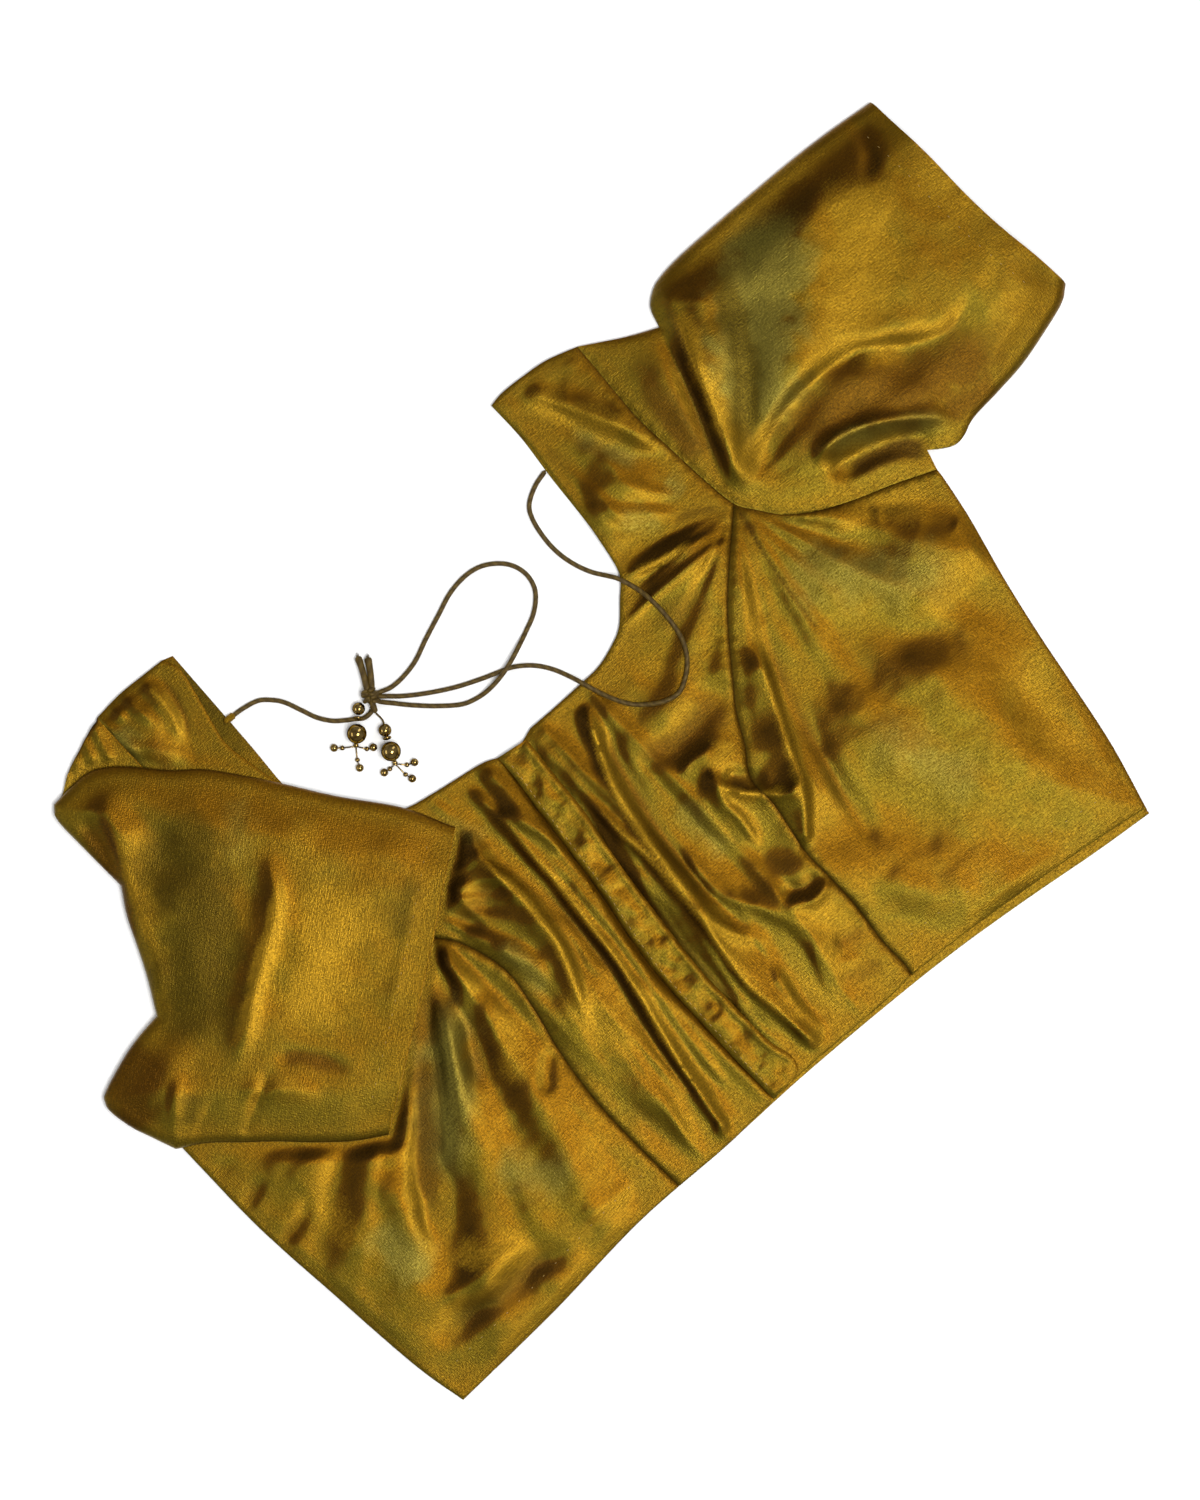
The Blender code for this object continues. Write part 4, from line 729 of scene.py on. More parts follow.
def sleeve_tube(name, node, layers, grain, painted_light):
    """A flattened sleeve. Each layer is an outline, its upper and lower heights and the lines where it's
    open; elsewhere its two walls are joined along their folds.
    """
    spots, faces, area, start = [], [], 0.0, 0
    for ring, top, under, open_lines in layers:
        points, triangles, edges = flat_mesh(ring)
        count = len(points)
        upper, lower = np.maximum(top(points), 0.1), np.maximum(under(points), 0.05)
        middles = (ring + np.roll(ring, -1, 0)) / 2
        gone = np.min([near(middles, smooth(line))[0] for line in open_lines], axis=0) < 2.2
        spots += [np.column_stack((points, upper)), np.column_stack((points, lower))]
        faces += [tuple(start + k for k in t) for t in triangles]
        faces += [tuple(start + count + k for k in reversed(t)) for t in triangles]
        faces += [(start + b, start + a, start + count + a, start + count + b)
                  for (a, b), skip in zip(edges, gone) if not skip]
        area += 2 * flat_area(ring)
        start += 2 * count
    piece = new_object(name, to_frame(np.vstack(spots)), faces, silk)
    finish_cloth(piece, grain, painted_light, [closed(layers[0][0])], fade=SLEEVE_FADE)
    declare(piece, node)
    return piece


# ---------------------------------------------------------------- finishes


def add_node(tree, kind, **settings):
    """A node with its own settings (lower case)."""
    made = tree.nodes.new(kind)
    for key, value in settings.items():
        setattr(made, key, value)
    return made


def wire(tree, *pairs):
    """Joins (socket, socket) pairs, and sets (value, socket) pairs."""
    for source, target in pairs:
        if isinstance(source, bpy.types.NodeSocket):
            tree.links.new(source, target)
        else:
            target.default_value = source


def new_group(name, inputs, outputs):
    """A node group with (name, kind, value) inputs and (name, kind) outputs."""
    group = bpy.data.node_groups.new(name, "ShaderNodeTree")
    for label, kind, value in inputs:
        socket = group.interface.new_socket(name=label, in_out="INPUT", socket_type=kind)
        if value is not None:
            socket.default_value = value
    for label, kind in outputs:
        group.interface.new_socket(name=label, in_out="OUTPUT", socket_type=kind)
    return group, group.nodes.new("NodeGroupInput").outputs, group.nodes.new("NodeGroupOutput").inputs


def math_node(tree, operation, first, second, clamp=False):
    made = add_node(tree, "ShaderNodeMath", operation=operation, use_clamp=clamp)
    wire(tree, (first, made.inputs[0]), (second, made.inputs[1]))
    return made.outputs[0]


def noise_node(tree, vector, scale, stretch=(1, 1, 1), detail=3.0, rough_share=0.55):
    """Noise over the vector; stretch squeezes the pattern along each axis."""
    place = add_node(tree, "ShaderNodeMapping")
    wire(tree, (vector, place.inputs["Vector"]), (stretch, place.inputs["Scale"]))
    made = add_node(tree, "ShaderNodeTexNoise")
    wire(tree, (place.outputs[0], made.inputs["Vector"]), (scale, made.inputs["Scale"]),
         (detail, made.inputs["Detail"]), (rough_share, made.inputs["Roughness"]))
    return made.outputs["Fac"]


def mix_colour(tree, share, first, second, blend="MIX"):
    made = add_node(tree, "ShaderNodeMix", data_type="RGBA", blend_type=blend)
    wire(tree, (share, made.inputs["Factor"]), (first, made.inputs[6]), (second, made.inputs[7]))
    return made.outputs[2]


def spread_node(tree, value, low, high, to_low=0.0, to_high=1.0):
    made = add_node(tree, "ShaderNodeMapRange", interpolation_type="SMOOTHSTEP")
    wire(tree, (value, made.inputs["Value"]), (low, made.inputs["From Min"]), (high, made.inputs["From Max"]),
         (to_low, made.inputs["To Min"]), (to_high, made.inputs["To Max"]))
    return made.outputs["Result"]


def colour(red, green, blue):
    """A colour given as 0 to 255 in each channel, made linear."""
    return (*((channel / 255) ** 2.2 for channel in (red, green, blue)), 1.0)


def shot_weave_group():
    """Tissue silk's weave: its slubs both ways, its fine thread grain, and the height and gloss they make."""
    group, given, out = new_group(
        "shot_weave",
        [("Vector", "NodeSocketVector", None), ("Slub", "NodeSocketFloat", 1.0)],
        [("Streak", "NodeSocketFloat"), ("Mottle", "NodeSocketFloat"), ("Height", "NodeSocketFloat")],
    )
    vector = given["Vector"]
    weft = noise_node(group, vector, 6.0, (2.2, 26.0, 1.0), 4.0, 0.6)
    warp = noise_node(group, vector, 6.0, (30.0, 3.0, 1.0), 4.0, 0.6)
    thread = noise_node(group, vector, 60.0, (1.3, 3.0, 1.0), 1.0, 0.5)
    cross = noise_node(group, vector, 60.0, (3.0, 1.3, 1.0), 1.0, 0.5)
    streak = math_node(group, "ADD", math_node(group, "MULTIPLY", weft, 0.62),
                       math_node(group, "MULTIPLY", warp, 0.38))
    fine = math_node(group, "ADD", math_node(group, "MULTIPLY", thread, 0.5),
                     math_node(group, "MULTIPLY", cross, 0.5))
    both = math_node(group, "ADD", math_node(group, "MULTIPLY", streak, 0.45),
                     math_node(group, "MULTIPLY", fine, 0.55))
    mottle = noise_node(group, vector, 5.0, (1.0, 1.0, 1.0), 5.0, 0.62)
    wire(group, (both, out["Streak"]), (mottle, out["Mottle"]),
         (math_node(group, "MULTIPLY", both, given["Slub"]), out["Height"]))
    return group


def use_group(tree, group, **values):
    made = add_node(tree, "ShaderNodeGroup", node_tree=group)
    for label, value in values.items():
        wire(tree, (value, made.inputs[label]))
    return made.outputs


def new_finish(name, **settings):
    """(material, node tree, Principled node) with the settings put straight on the sockets."""
    made = bpy.data.materials.new(name)
    made.use_nodes = True
    tree = made.node_tree
    surface = tree.nodes["Principled BSDF"]
    for label, value in settings.items():
        surface.inputs[label.replace("_", " ").title().replace("Ior", "IOR")].default_value = value
    return made, tree, surface


def bump(tree, height, strength, distance, surface):
    made = add_node(tree, "ShaderNodeBump")
    wire(tree, (height, made.inputs["Height"]), (strength, made.inputs["Strength"]),
         (distance, made.inputs["Distance"]), (made.outputs["Normal"], surface.inputs["Normal"]))


def attribute(tree, name):
    return add_node(tree, "ShaderNodeAttribute", attribute_name=name).outputs["Fac"]


# warp and weft are the silk's own colours; gold is painted highlight, green painted sheen, olive, brown and
# dark painted shade
SILK_COLOURS = {
    "warp": colour(132, 91, 13),
    "weft": colour(120, 100, 26),
    "olive": colour(84, 68, 14),
    "brown": colour(90, 59, 6),
    "dark": colour(70, 48, 6),
    "green": colour(122, 110, 44),
    "gold": colour(164, 124, 30),
}


def silk_finish():
    made, tree, surface = new_finish("tissue_silk", metallic=0.86, sheen_weight=0.05, sheen_roughness=0.4)
    surface.inputs["Specular IOR Level"].default_value = 0.25
    surface.inputs["Sheen Tint"].default_value = colour(240, 200, 110)
    weave = use_group(tree, shot_weave, Vector=add_node(tree, "ShaderNodeUVMap", uv_map="weave").outputs[0])
    ragged = math_node(tree, "MULTIPLY", math_node(tree, "SUBTRACT", weave["Mottle"], 0.5), 0.42)
    streak = math_node(tree, "SUBTRACT", weave["Streak"], 0.5)
    # painted sheen: the silk's own warp and weft colours mixed by the painted shot attribute
    shot = spread_node(tree, math_node(tree, "ADD", attribute(tree, "shot"), ragged), 0.2, 0.8)
    tint = mix_colour(tree, shot, SILK_COLOURS["warp"], SILK_COLOURS["weft"])
    # painted light and shade: painted gold highlight on slopes facing the key light, painted brown and dark
    # shade on those facing away
    painted_lighting = math_node(tree, "ADD", attribute(tree, "painted_lighting"),
                      math_node(tree, "MULTIPLY", math_node(tree, "ADD", ragged, streak), 0.36))
    tint = mix_colour(tree, spread_node(tree, painted_lighting, 0.42, 0.14, 0.0, 0.9), tint, SILK_COLOURS["gold"])
    tint = mix_colour(tree, spread_node(tree, painted_lighting, 0.52, 0.66, 0.0, 0.9), tint, SILK_COLOURS["brown"])
    tint = mix_colour(tree, spread_node(tree, painted_lighting, 0.64, 0.84, 0.0, 0.95), tint, SILK_COLOURS["dark"])
    # painted light, shade and sheen laid along the folds by the tables
    for hue in PAINTED_HUES:
        share = math_node(tree, "ADD", attribute(tree, hue), math_node(tree, "MULTIPLY", ragged, 0.9))
        share = math_node(tree, "ADD", share, math_node(tree, "MULTIPLY", streak, 0.8))
        share = math_node(tree, "MULTIPLY", spread_node(tree, share, 0.2, 0.8), 0.85)
        tint = mix_colour(tree, share, tint, SILK_COLOURS[hue])
    # painted shade in the seam grooves
    tint = mix_colour(tree, math_node(tree, "MULTIPLY", attribute(tree, "seam"), 0.7), tint,
                      SILK_COLOURS["dark"])
    level = spread_node(tree, weave["Streak"], 0.37, 0.63, 0.42, 0.86)
    tone = add_node(tree, "ShaderNodeCombineColor")
    wire(tree, *((level, tone.inputs[k]) for k in range(3)))
    tint = mix_colour(tree, 1.0, tint, tone.outputs[0], "MULTIPLY")
    wire(tree, (tint, surface.inputs["Base Color"]),
         (spread_node(tree, weave["Streak"], 0.3, 0.7, 0.5, 0.34), surface.inputs["Roughness"]))
    bump(tree, weave["Height"], 0.55, 0.0009, surface)
    return made


def cord_finish():
    made, tree, surface = new_finish("tie_cord", metallic=0.1, sheen_weight=0.04, sheen_roughness=0.45)
    surface.inputs["Specular IOR Level"].default_value = 0.3
    surface.inputs["Sheen Tint"].default_value = colour(200, 170, 90)
    place = add_node(tree, "ShaderNodeUVMap", uv_map="lay").outputs[0]
    weave = use_group(tree, shot_weave, Vector=place)
    turns = add_node(tree, "ShaderNodeTexWave", wave_type="BANDS", bands_direction="DIAGONAL")
    wire(tree, (place, turns.inputs["Vector"]), (1.0, turns.inputs["Scale"]),
         (0.6, turns.inputs["Distortion"]))
    height = math_node(tree, "ADD", turns.outputs["Fac"], weave["Height"])
    share = math_node(tree, "ADD", math_node(tree, "MULTIPLY", turns.outputs["Fac"], 0.22),
                      math_node(tree, "MULTIPLY", weave["Mottle"], 0.8))
    tint = mix_colour(tree, spread_node(tree, share, 0.2, 0.9), colour(58, 44, 12), colour(96, 76, 26))
    wire(tree, (tint, surface.inputs["Base Color"]),
         (spread_node(tree, share, 0.2, 0.9, 0.72, 0.5), surface.inputs["Roughness"]))
    bump(tree, height, 0.22, 0.0002, surface)
    return made


def thread_finish():
    made, tree, surface = new_finish("sewing_thread", metallic=0.1, sheen_weight=0.3)
    place = add_node(tree, "ShaderNodeTexCoord").outputs["Object"]
    fuzz = noise_node(tree, place, 900.0)
    wire(tree, (mix_colour(tree, fuzz, colour(96, 72, 14), colour(178, 140, 52)),
                surface.inputs["Base Color"]),
         (spread_node(tree, fuzz, 0.3, 0.7, 0.7, 0.5), surface.inputs["Roughness"]))
    bump(tree, fuzz, 0.3, 0.0002, surface)
    return made


def bead_finish():
    """Gold-washed metal, polished, with fine rub marks and a warmer tarnish in places."""
    made, tree, surface = new_finish("gold_bead", metallic=1.0)
    surface.inputs["Specular Tint"].default_value = colour(40, 28, 10)
    place = add_node(tree, "ShaderNodeTexCoord").outputs["Object"]
    cloud = noise_node(tree, place, 420.0, detail=4.0)
    rubbed = noise_node(tree, place, 900.0, (1, 6, 1))
    tint = mix_colour(tree, spread_node(tree, cloud, 0.35, 0.7), colour(150, 126, 76), colour(100, 78, 36))
    wire(tree, (tint, surface.inputs["Base Color"]),
         (spread_node(tree, rubbed, 0.3, 0.75, 0.05, 0.12), surface.inputs["Roughness"]))
    bump(tree, cloud, 0.06, 0.0002, surface)
    return made


def floor_finish():
    made, tree, surface = new_finish("pale_floor", roughness=0.9)
    place = add_node(tree, "ShaderNodeTexCoord").outputs["Object"]
    grain = noise_node(tree, place, 40.0)
    wire(tree, (mix_colour(tree, grain, colour(247, 247, 246), colour(251, 251, 250)),
                surface.inputs["Base Color"]))
    return made


shot_weave = shot_weave_group()
silk = silk_finish()
tie_cord = cord_finish()
sewing_thread = thread_finish()
gold_bead = bead_finish()


# ---------------------------------------------------------------- painted light over a cloth


def painted_light_share(points, painted_light, hue):
    """How much of a hue of painted light each point takes, from 0 to 1."""
    total = np.zeros(len(points))
    for number, tone in enumerate(painted_light):
        if tone.hue != hue:
            continue
        line = smooth(tone.path, 4.0)
        reach = 2.6 * max(tone.left, tone.right)
        box = np.all((points > line.min(0) - reach) & (points < line.max(0) + reach), axis=1)
        if not box.any():
            continue
        spots = points[box]
        distance, side, share = near(spots, line)
        ragged = 1 + 0.5 * rough(spots, 12.0, number + 0.3) + 0.35 * rough(spots, 5.0, number + 0.7)
        width = 1.25 * np.where(side > 0, tone.left, tone.right) * np.maximum(ragged, 0.3)
        ends = 0.25 + 0.75 * ease(share / 0.25) * ease((1 - share) / 0.25)
        amount = 0.85 * tone.strength * np.exp(-((distance / width) ** min(tone.soft, 2.5))) * ends
        total[box] = np.maximum(total[box], amount)
    return total


# ---------------------------------------------------------------- cords and beads

CORD_DIAMETER = 2.2
CORD_REST = 1.15  # height of a cord's middle where it lies on the floor
# The three cords' routes, where the parts say they lie.
TIE_LEFT_ROUTE = [(99.7, 299.4), (91.2, 297), (83.8, 292.4), (80.6, 286.5), (79.1, 277.6), (79.1, 268.8),
                  (80.9, 260), (84.6, 251.2), (89.7, 243.8), (92.9, 238.7), (96.3, 229.1), (97.8, 218.8),
                  (97.8, 207), (95.6, 196.8), (90.4, 188.7), (82.4, 182.8), (76.5, 181.8), (69.1, 184.3),
                  (60.3, 190.9), (54.4, 199.7), (50, 210), (47.1, 218), (42.6, 227.6), (36.8, 235),
                  (29.4, 240.5), (22, 243.4), (14.7, 246), (2.9, 251), (-8.8, 257.5), (-17.6, 263.4),
                  (-23.4, 268.2), (-26.8, 271.0), (-28.8, 272.4)]
TIE_LOOP_ROUTE = [(-28.8, 273.4), (-26.8, 272.8), (-23.2, 271.4), (-19, 270.2), (-11.8, 270.3),
                  (-2.9, 272.2), (7.4, 276.7), (19.1, 281.3), (29.4, 285.3), (39.7, 286.8),
                  (48.5, 285.3), (55.9, 280.6), (60.3, 274.7), (61.8, 267.4),
                  (59.6, 260), (52.9, 253.4), (44.1, 249), (32.4, 244), (23.5, 241.2), (14.7, 240),
                  (7.4, 240.6), (0, 243.1), (-8.8, 249.7), (-17, 257.2), (-23.8, 264.4),
                  (-27.6, 268.6), (-28.8, 271.4)]
TIE_RIGHT_ROUTE = [(-85.7, 308), (-78, 307.5), (-69.9, 305.6), (-64.7, 301.5), (-61, 296.8), (-57.4, 288.7),
                   (-54.4, 282), (-50, 276.2), (-44.9, 272.2), (-41.5, 270), (-38.5, 267.8), (-35.2, 267.4),
                   (-32.6, 268.2), (-30.8, 270.4)]
LOOP_CROSSING = (26.2, 242.0)
KNOT = (-29.3, 273.4, 3.3)


def tube(name, line, radius, finish, sides=14, bulge=None):
    """A closed tube round a line of plan points with heights, rounded off at both ends."""
    line = np.array(line, float)
    run = np.concatenate(([0], np.cumsum(np.linalg.norm(np.diff(line, axis=0), axis=1))))
    ahead = np.gradient(line, axis=0)
    ahead /= np.linalg.norm(ahead, axis=1)[:, None]
    across = np.cross(ahead, (0.0, 0.0, 1.0))
    across /= np.linalg.norm(across, axis=1)[:, None]
    up = np.cross(across, ahead)
    ends = np.minimum(run, run[-1] - run)
    thick = radius * np.sqrt(np.clip(1 - (1 - np.clip(ends / radius, 0, 1)) ** 2, 0.03, 1))
    if bulge is not None:
        thick = thick * bulge(run)
    turn = np.arange(sides) * math.tau / sides
    rings = (line[:, None] + thick[:, None, None] * (np.cos(turn)[None, :, None] * across[:, None]
                                                     + np.sin(turn)[None, :, None] * up[:, None]))
    points = np.vstack((rings.reshape(-1, 3), line[:1], line[-1:]))
    faces, places = [], []
    for k in range(len(line) - 1):
        for j in range(sides):
            a, b = k * sides + j, k * sides + (j + 1) % sides
            faces.append((a, a + sides, b + sides, b))
            places.append([(run[k], j), (run[k + 1], j), (run[k + 1], j + 1), (run[k], j + 1)])
    last, first_cap, last_cap = (len(line) - 1) * sides, len(points) - 2, len(points) - 1
    for j in range(sides):
        faces.append((first_cap, j, (j + 1) % sides))
        places.append([(0, j), (0, j), (0, j + 1)])
        faces.append((last_cap, last + (j + 1) % sides, last + j))
        places.append([(run[-1], j), (run[-1], j + 1), (run[-1], j)])
    made = new_object(name, to_frame(points), faces, finish)
    layer = made.data.uv_layers.new(name="lay")
    spots = [(along / (math.tau * radius), j / sides) for face in places for along, j in face]
    layer.data.foreach_set("uv", np.array(spots).ravel())
    made.data.polygons.foreach_set("use_smooth", [True] * len(made.data.polygons))
    return made


def along_route(route, step=1.0):
    line = smooth(route, step)
    run = np.concatenate(([0], np.cumsum(np.linalg.norm(np.diff(line, axis=0), axis=1))))
    return line, run


def lying(route, support):
    """The route with heights: it rests on what support says is beneath, and climbs gently as that rises."""
    line, run = along_route(route)
    under = support(line)
    heights = []
    for here in run:
        away = np.abs(run - here)
        heights.append(np.max(under - 3.4 * ease(away / 11) - 9 * ease((away - 11) / 9)))
    return np.column_stack((line, np.array(heights) + CORD_REST))


def beneath_left_tie(line):
    on_front = inside(line, FRONT_LEFT_CENTRE) & (line[:, 0] < 99.2)
    from_edge = near(line, smooth(NECK_LEFT))[0]
    close = on_front | ((from_edge < 1.6) & (line[:, 1] < 250))
    return np.where(close, front_height(line) + 0.15, 0.0)


def beneath_loop(line):
    gap = np.hypot(line[:, 0] - LOOP_CROSSING[0], line[:, 1] - LOOP_CROSSING[1])
    return 2.75 * ease((19 - gap) / 13)


def beneath_right_tie(line):
    return np.zeros(len(line))


def join(name, pieces):
    bpy.ops.object.select_all(action="DESELECT")
    for piece in pieces:
        piece.select_set(True)
    bpy.context.view_layer.objects.active = pieces[0]
    bpy.ops.object.join()
    pieces[0].name = name
    pieces[0].select_set(False)
    return pieces[0]


def settle(piece, name, finish, smooth_under=60):
    """Puts a modelled piece's place in its mesh, and gives it its name and finish."""
    bpy.ops.object.select_all(action="DESELECT")
    piece.select_set(True)
    bpy.context.view_layer.objects.active = piece
    bpy.ops.object.transform_apply(location=True, rotation=True, scale=True)
    piece.data.materials.clear()
    piece.data.materials.append(finish)
    bpy.ops.object.shade_smooth_by_angle(angle=math.radians(smooth_under))
    piece.select_set(False)
    piece.name = piece.data.name = name
    return piece


def facing(direction):
    """The turn that points a piece's Z along a direction."""
    return Vector(direction).to_track_quat("Z", "Y").to_euler()


def round_bead(name, centre, radius, axis, hole, segments=32):
    """A turned bead: a ball cut flat at its two ends, each with a rounded drilled mouth."""
    place = Vector(to_frame([centre])[0])
    bpy.ops.mesh.primitive_uv_sphere_add(segments=segments, ring_count=segments // 2, radius=radius * MM,
                                         location=place, rotation=facing(axis))
    piece = bpy.context.object
    flat = math.sqrt(radius**2 - hole**2) * MM
    bpy.ops.object.mode_set(mode="EDIT")
    for end in (1, -1):
        side = piece.matrix_world.to_3x3() @ Vector((0, 0, end))
        bpy.ops.mesh.select_all(action="SELECT")
        bpy.ops.mesh.bisect(plane_co=place + side * flat, plane_no=side, use_fill=True, clear_outer=True)
        bpy.ops.mesh.inset(thickness=hole * 0.18 * MM, depth=hole * 0.05 * MM)
        bpy.ops.mesh.inset(thickness=hole * 0.2 * MM, depth=-hole * 0.12 * MM)
        bpy.ops.mesh.inset(thickness=hole * 0.05 * MM, depth=-hole * 0.6 * MM)
    bpy.ops.object.mode_set(mode="OBJECT")
    return settle(piece, name, gold_bead, 45)


def spacer_ring(name, centre, radius, thickness, axis):
    bpy.ops.mesh.primitive_torus_add(location=Vector(to_frame([centre])[0]), rotation=facing(axis),
                                     major_radius=radius * MM, minor_radius=thickness / 2 * MM,
                                     major_segments=24, minor_segments=8)
    return settle(bpy.context.object, name, gold_bead)


def cap(name, centre, radius, length, axis):
    """A small bell-shaped end cap, with a rolled rim."""
    bpy.ops.mesh.primitive_cylinder_add(vertices=24, radius=radius * MM, depth=length * MM,
                                        location=Vector(to_frame([centre])[0]), rotation=facing(axis))
    piece = bpy.context.object
    bpy.ops.object.mode_set(mode="EDIT")
    bpy.ops.mesh.select_all(action="SELECT")
    side = piece.matrix_world.to_3x3() @ Vector((0, 0, 1))
    place = piece.location
    for share in (-0.28, 0.0, 0.28):
        bpy.ops.mesh.select_all(action="SELECT")
        bpy.ops.mesh.bisect(plane_co=place + side * share * length * MM, plane_no=side)
    bpy.ops.object.mode_set(mode="OBJECT")
    widths = {-0.5: 0.45, -0.28: 0.72, 0.0: 0.92, 0.28: 0.84, 0.5: 1.0}
    for vertex in piece.data.vertices:
        level = min(widths, key=lambda share: abs(vertex.co.z / MM / length - share))
        vertex.co.x *= widths[level]
        vertex.co.y *= widths[level]
    bevel = piece.modifiers.new("edge", "BEVEL")
    bevel.width, bevel.segments, bevel.limit_method = 0.12 * MM, 2, "ANGLE"
    bpy.ops.object.modifier_apply(modifier="edge")
    return settle(piece, name, gold_bead)


def drop(name, start, seed, end):
    """A wire from the cap, with a seed bead part of the way and a small bead at its end."""
    start, seed, end = (np.array(p, float) for p in (start, seed, end))
    way = (end - start) / np.linalg.norm(end - start)
    bend = (start + seed) / 2 + (0, 0, 0.25)
    line = smooth([start, bend, seed, end], 0.5)
    parts = [tube(name + "_wire", line, 0.3, gold_bead, 8)]
    parts.append(round_bead(name + "_seed", seed, 1.1, way, 0.4, 16))
    parts.append(round_bead(name + "_end", end, 1.8, way, 0.5, 20))
    return join(name, parts)


def knot_piece():
    """The tie knot: a core, with the cord wound round it four times, its tail, and a thin strand."""
    bpy.ops.mesh.primitive_uv_sphere_add(segments=24, ring_count=14, radius=MM, scale=(2.9, 3.9, 2.2),
                                         location=Vector(to_frame([KNOT])[0]), rotation=(0, 0, -0.35))
    core = settle(bpy.context.object, "knot_core", tie_cord)
    core.data.uv_layers.active.name = "lay"
    up = np.array((0.34, 0.94, 0.0))  # the ears' way out of the knot
    across = np.array((0.94, -0.34, 0.0))
    wraps = []
    for k, (lean, shift, size) in enumerate([(0.25, 2.5, 0.86), (-0.12, 0.9, 1.0), (0.55, -0.9, 1.02),
                                             (-0.5, -2.2, 0.8)]):
        t = np.linspace(0, math.tau, 40)
        level = shift + lean * 1.5 * np.sin(t) + np.linspace(-0.4, 0.4, 40)
        round_it = across * (3.0 * size * np.sin(t))[:, None] + (0, 0, 1) * (2.2 * size * np.cos(t))[:, None]
        wraps.append(tube(f"knot_wrap_{k}", KNOT + round_it + up * level[:, None], 1.05, tie_cord, 12))
    tail = [(-29.8, 271.6, 3.6), (-31.2, 269.0, 3.0), (-32.5, 265.8, 2.0)]
    wraps.append(tube("knot_tail", smooth(tail, 0.8), 1.45, tie_cord, 12))
    strand = [(-32.5, 266.0, 2.0), (-32.2, 261.4, 2.2), (-33.4, 259.0, 2.8)]
    wraps.append(tube("knot_strand", smooth(strand, 0.6), 0.45, tie_cord, 8))
    return join("tie_knot_wound", [core, *wraps])


def ear(name, start, end):
    """A cut end of cord sticking out of the knot, a little frayed."""
    start, end = np.array(start, float), np.array(end, float)
    middle = (start + end) / 2 + (0.5, 0.1, 0.3)
    made = tube(name, smooth([start, middle, end], 0.8), 1.5, tie_cord, 12,
                lambda run: 1 + 0.2 * ease((run - run[-1] + 6) / 6))
    hairs = []
    way = (end - start) / np.linalg.norm(end - start)
    side = np.cross(way, (0, 0, 1))
    for k in range(7):
        lean = math.sin(k * 2.4) * 0.7
        tip = end + way * (1.2 + 0.5 * math.cos(k * 1.7)) + side * lean * 1.1
        tip = tip + (0, 0, 0.5 * math.cos(k * 2.4))
        root = end - way * 0.8 + side * lean * 0.5
        hairs.append(tube(f"{name}_hair_{k}", smooth([root, (root + tip) / 2, tip], 0.7), 0.14, tie_cord, 5))
    return join(name, [made, *hairs])


# ---------------------------------------------------------------- the pieces' outlines


def between(line, start, end):
    """The stretch of a seam line between the points nearest to two spots."""
    dense = smooth(line, STEP)
    first, last = (int(np.argmin(np.linalg.norm(dense - spot, axis=1))) for spot in (start, end))
    return dense[min(first, last):max(first, last) + 1]


BUST_LEFT, BUST_RIGHT = (155.5, 231), (-141, 228)  # where the princess seams meet the armholes
FRONT_LEFT_CENTRE = outline(PRINCESS_LEFT, between(ARMHOLE_LEFT, BUST_LEFT, (148, 333)), SHOULDER_LEFT,
                            NECK_LEFT, UNDERLAP, between(HEM, (-6, 12), (75.6, 13.7)))
FRONT_LEFT_SIDE = outline(PRINCESS_LEFT, between(ARMHOLE_LEFT, (236.6, 182), BUST_LEFT), SIDE_LEFT,
                          between(HEM, (75.6, 13.7), (207, 1.6)))
FRONT_RIGHT_CENTRE = outline(PRINCESS_RIGHT, between(ARMHOLE_RIGHT, BUST_RIGHT, (-131, 348)), SHOULDER_RIGHT,
                             NECK_RIGHT, BAND_SEAM, between(HEM, (-69, 10), (-9.7, 11.5)))
FRONT_RIGHT_SIDE = outline(PRINCESS_RIGHT, between(ARMHOLE_RIGHT, (-231, 180), BUST_RIGHT), SIDE_RIGHT,
                           between(HEM, (-208.6, 0), (-69, 10)))
BACK = outline(HEM_BACK, SIDE_LEFT, ARMHOLE_LEFT, SHOULDER_LEFT, NECK_BACK, SHOULDER_RIGHT, ARMHOLE_RIGHT,
               SIDE_RIGHT)
LEFT_SLEEVE = outline(ARMHOLE_LEFT, LEFT_CAP, LEFT_TOP, LEFT_CUFF, LEFT_UNDER)
HIDDEN_SLEEVE = outline(ARMHOLE_RIGHT, RIGHT_CAP_TOP, RIGHT_END, RIGHT_TURN, RIGHT_LOBE)

# ---------------------------------------------------------------- camera and cords, first of all

camera = bpy.data.objects.new("camera", bpy.data.cameras.new("camera"))
bpy.context.collection.objects.link(camera)
camera.data.lens = 85
camera.data.sensor_fit = "VERTICAL"
camera.data.sensor_height = 36
camera.location = (-0.0118, 0.0118, 0.004 + 85 * 0.690 / 36)
camera.rotation_euler = (0, 0, -math.atan2(0.653, 0.757))
camera.data.clip_end = 20
bpy.context.scene.camera = camera


def tie(name, route, support):
    line = lying(route, support)
    made = tube(name + "_cord", line, CORD_DIAMETER / 2, tie_cord)
    declare(made, name)
    path = to_frame(line)
    return made, path


left_tie, left_path = tie("tie_cord_left", TIE_LEFT_ROUTE, beneath_left_tie)
loop, loop_path = tie("tie_loop", TIE_LOOP_ROUTE, beneath_loop)
right_tie, right_path = tie("tie_cord_right", TIE_RIGHT_ROUTE, beneath_right_tie)

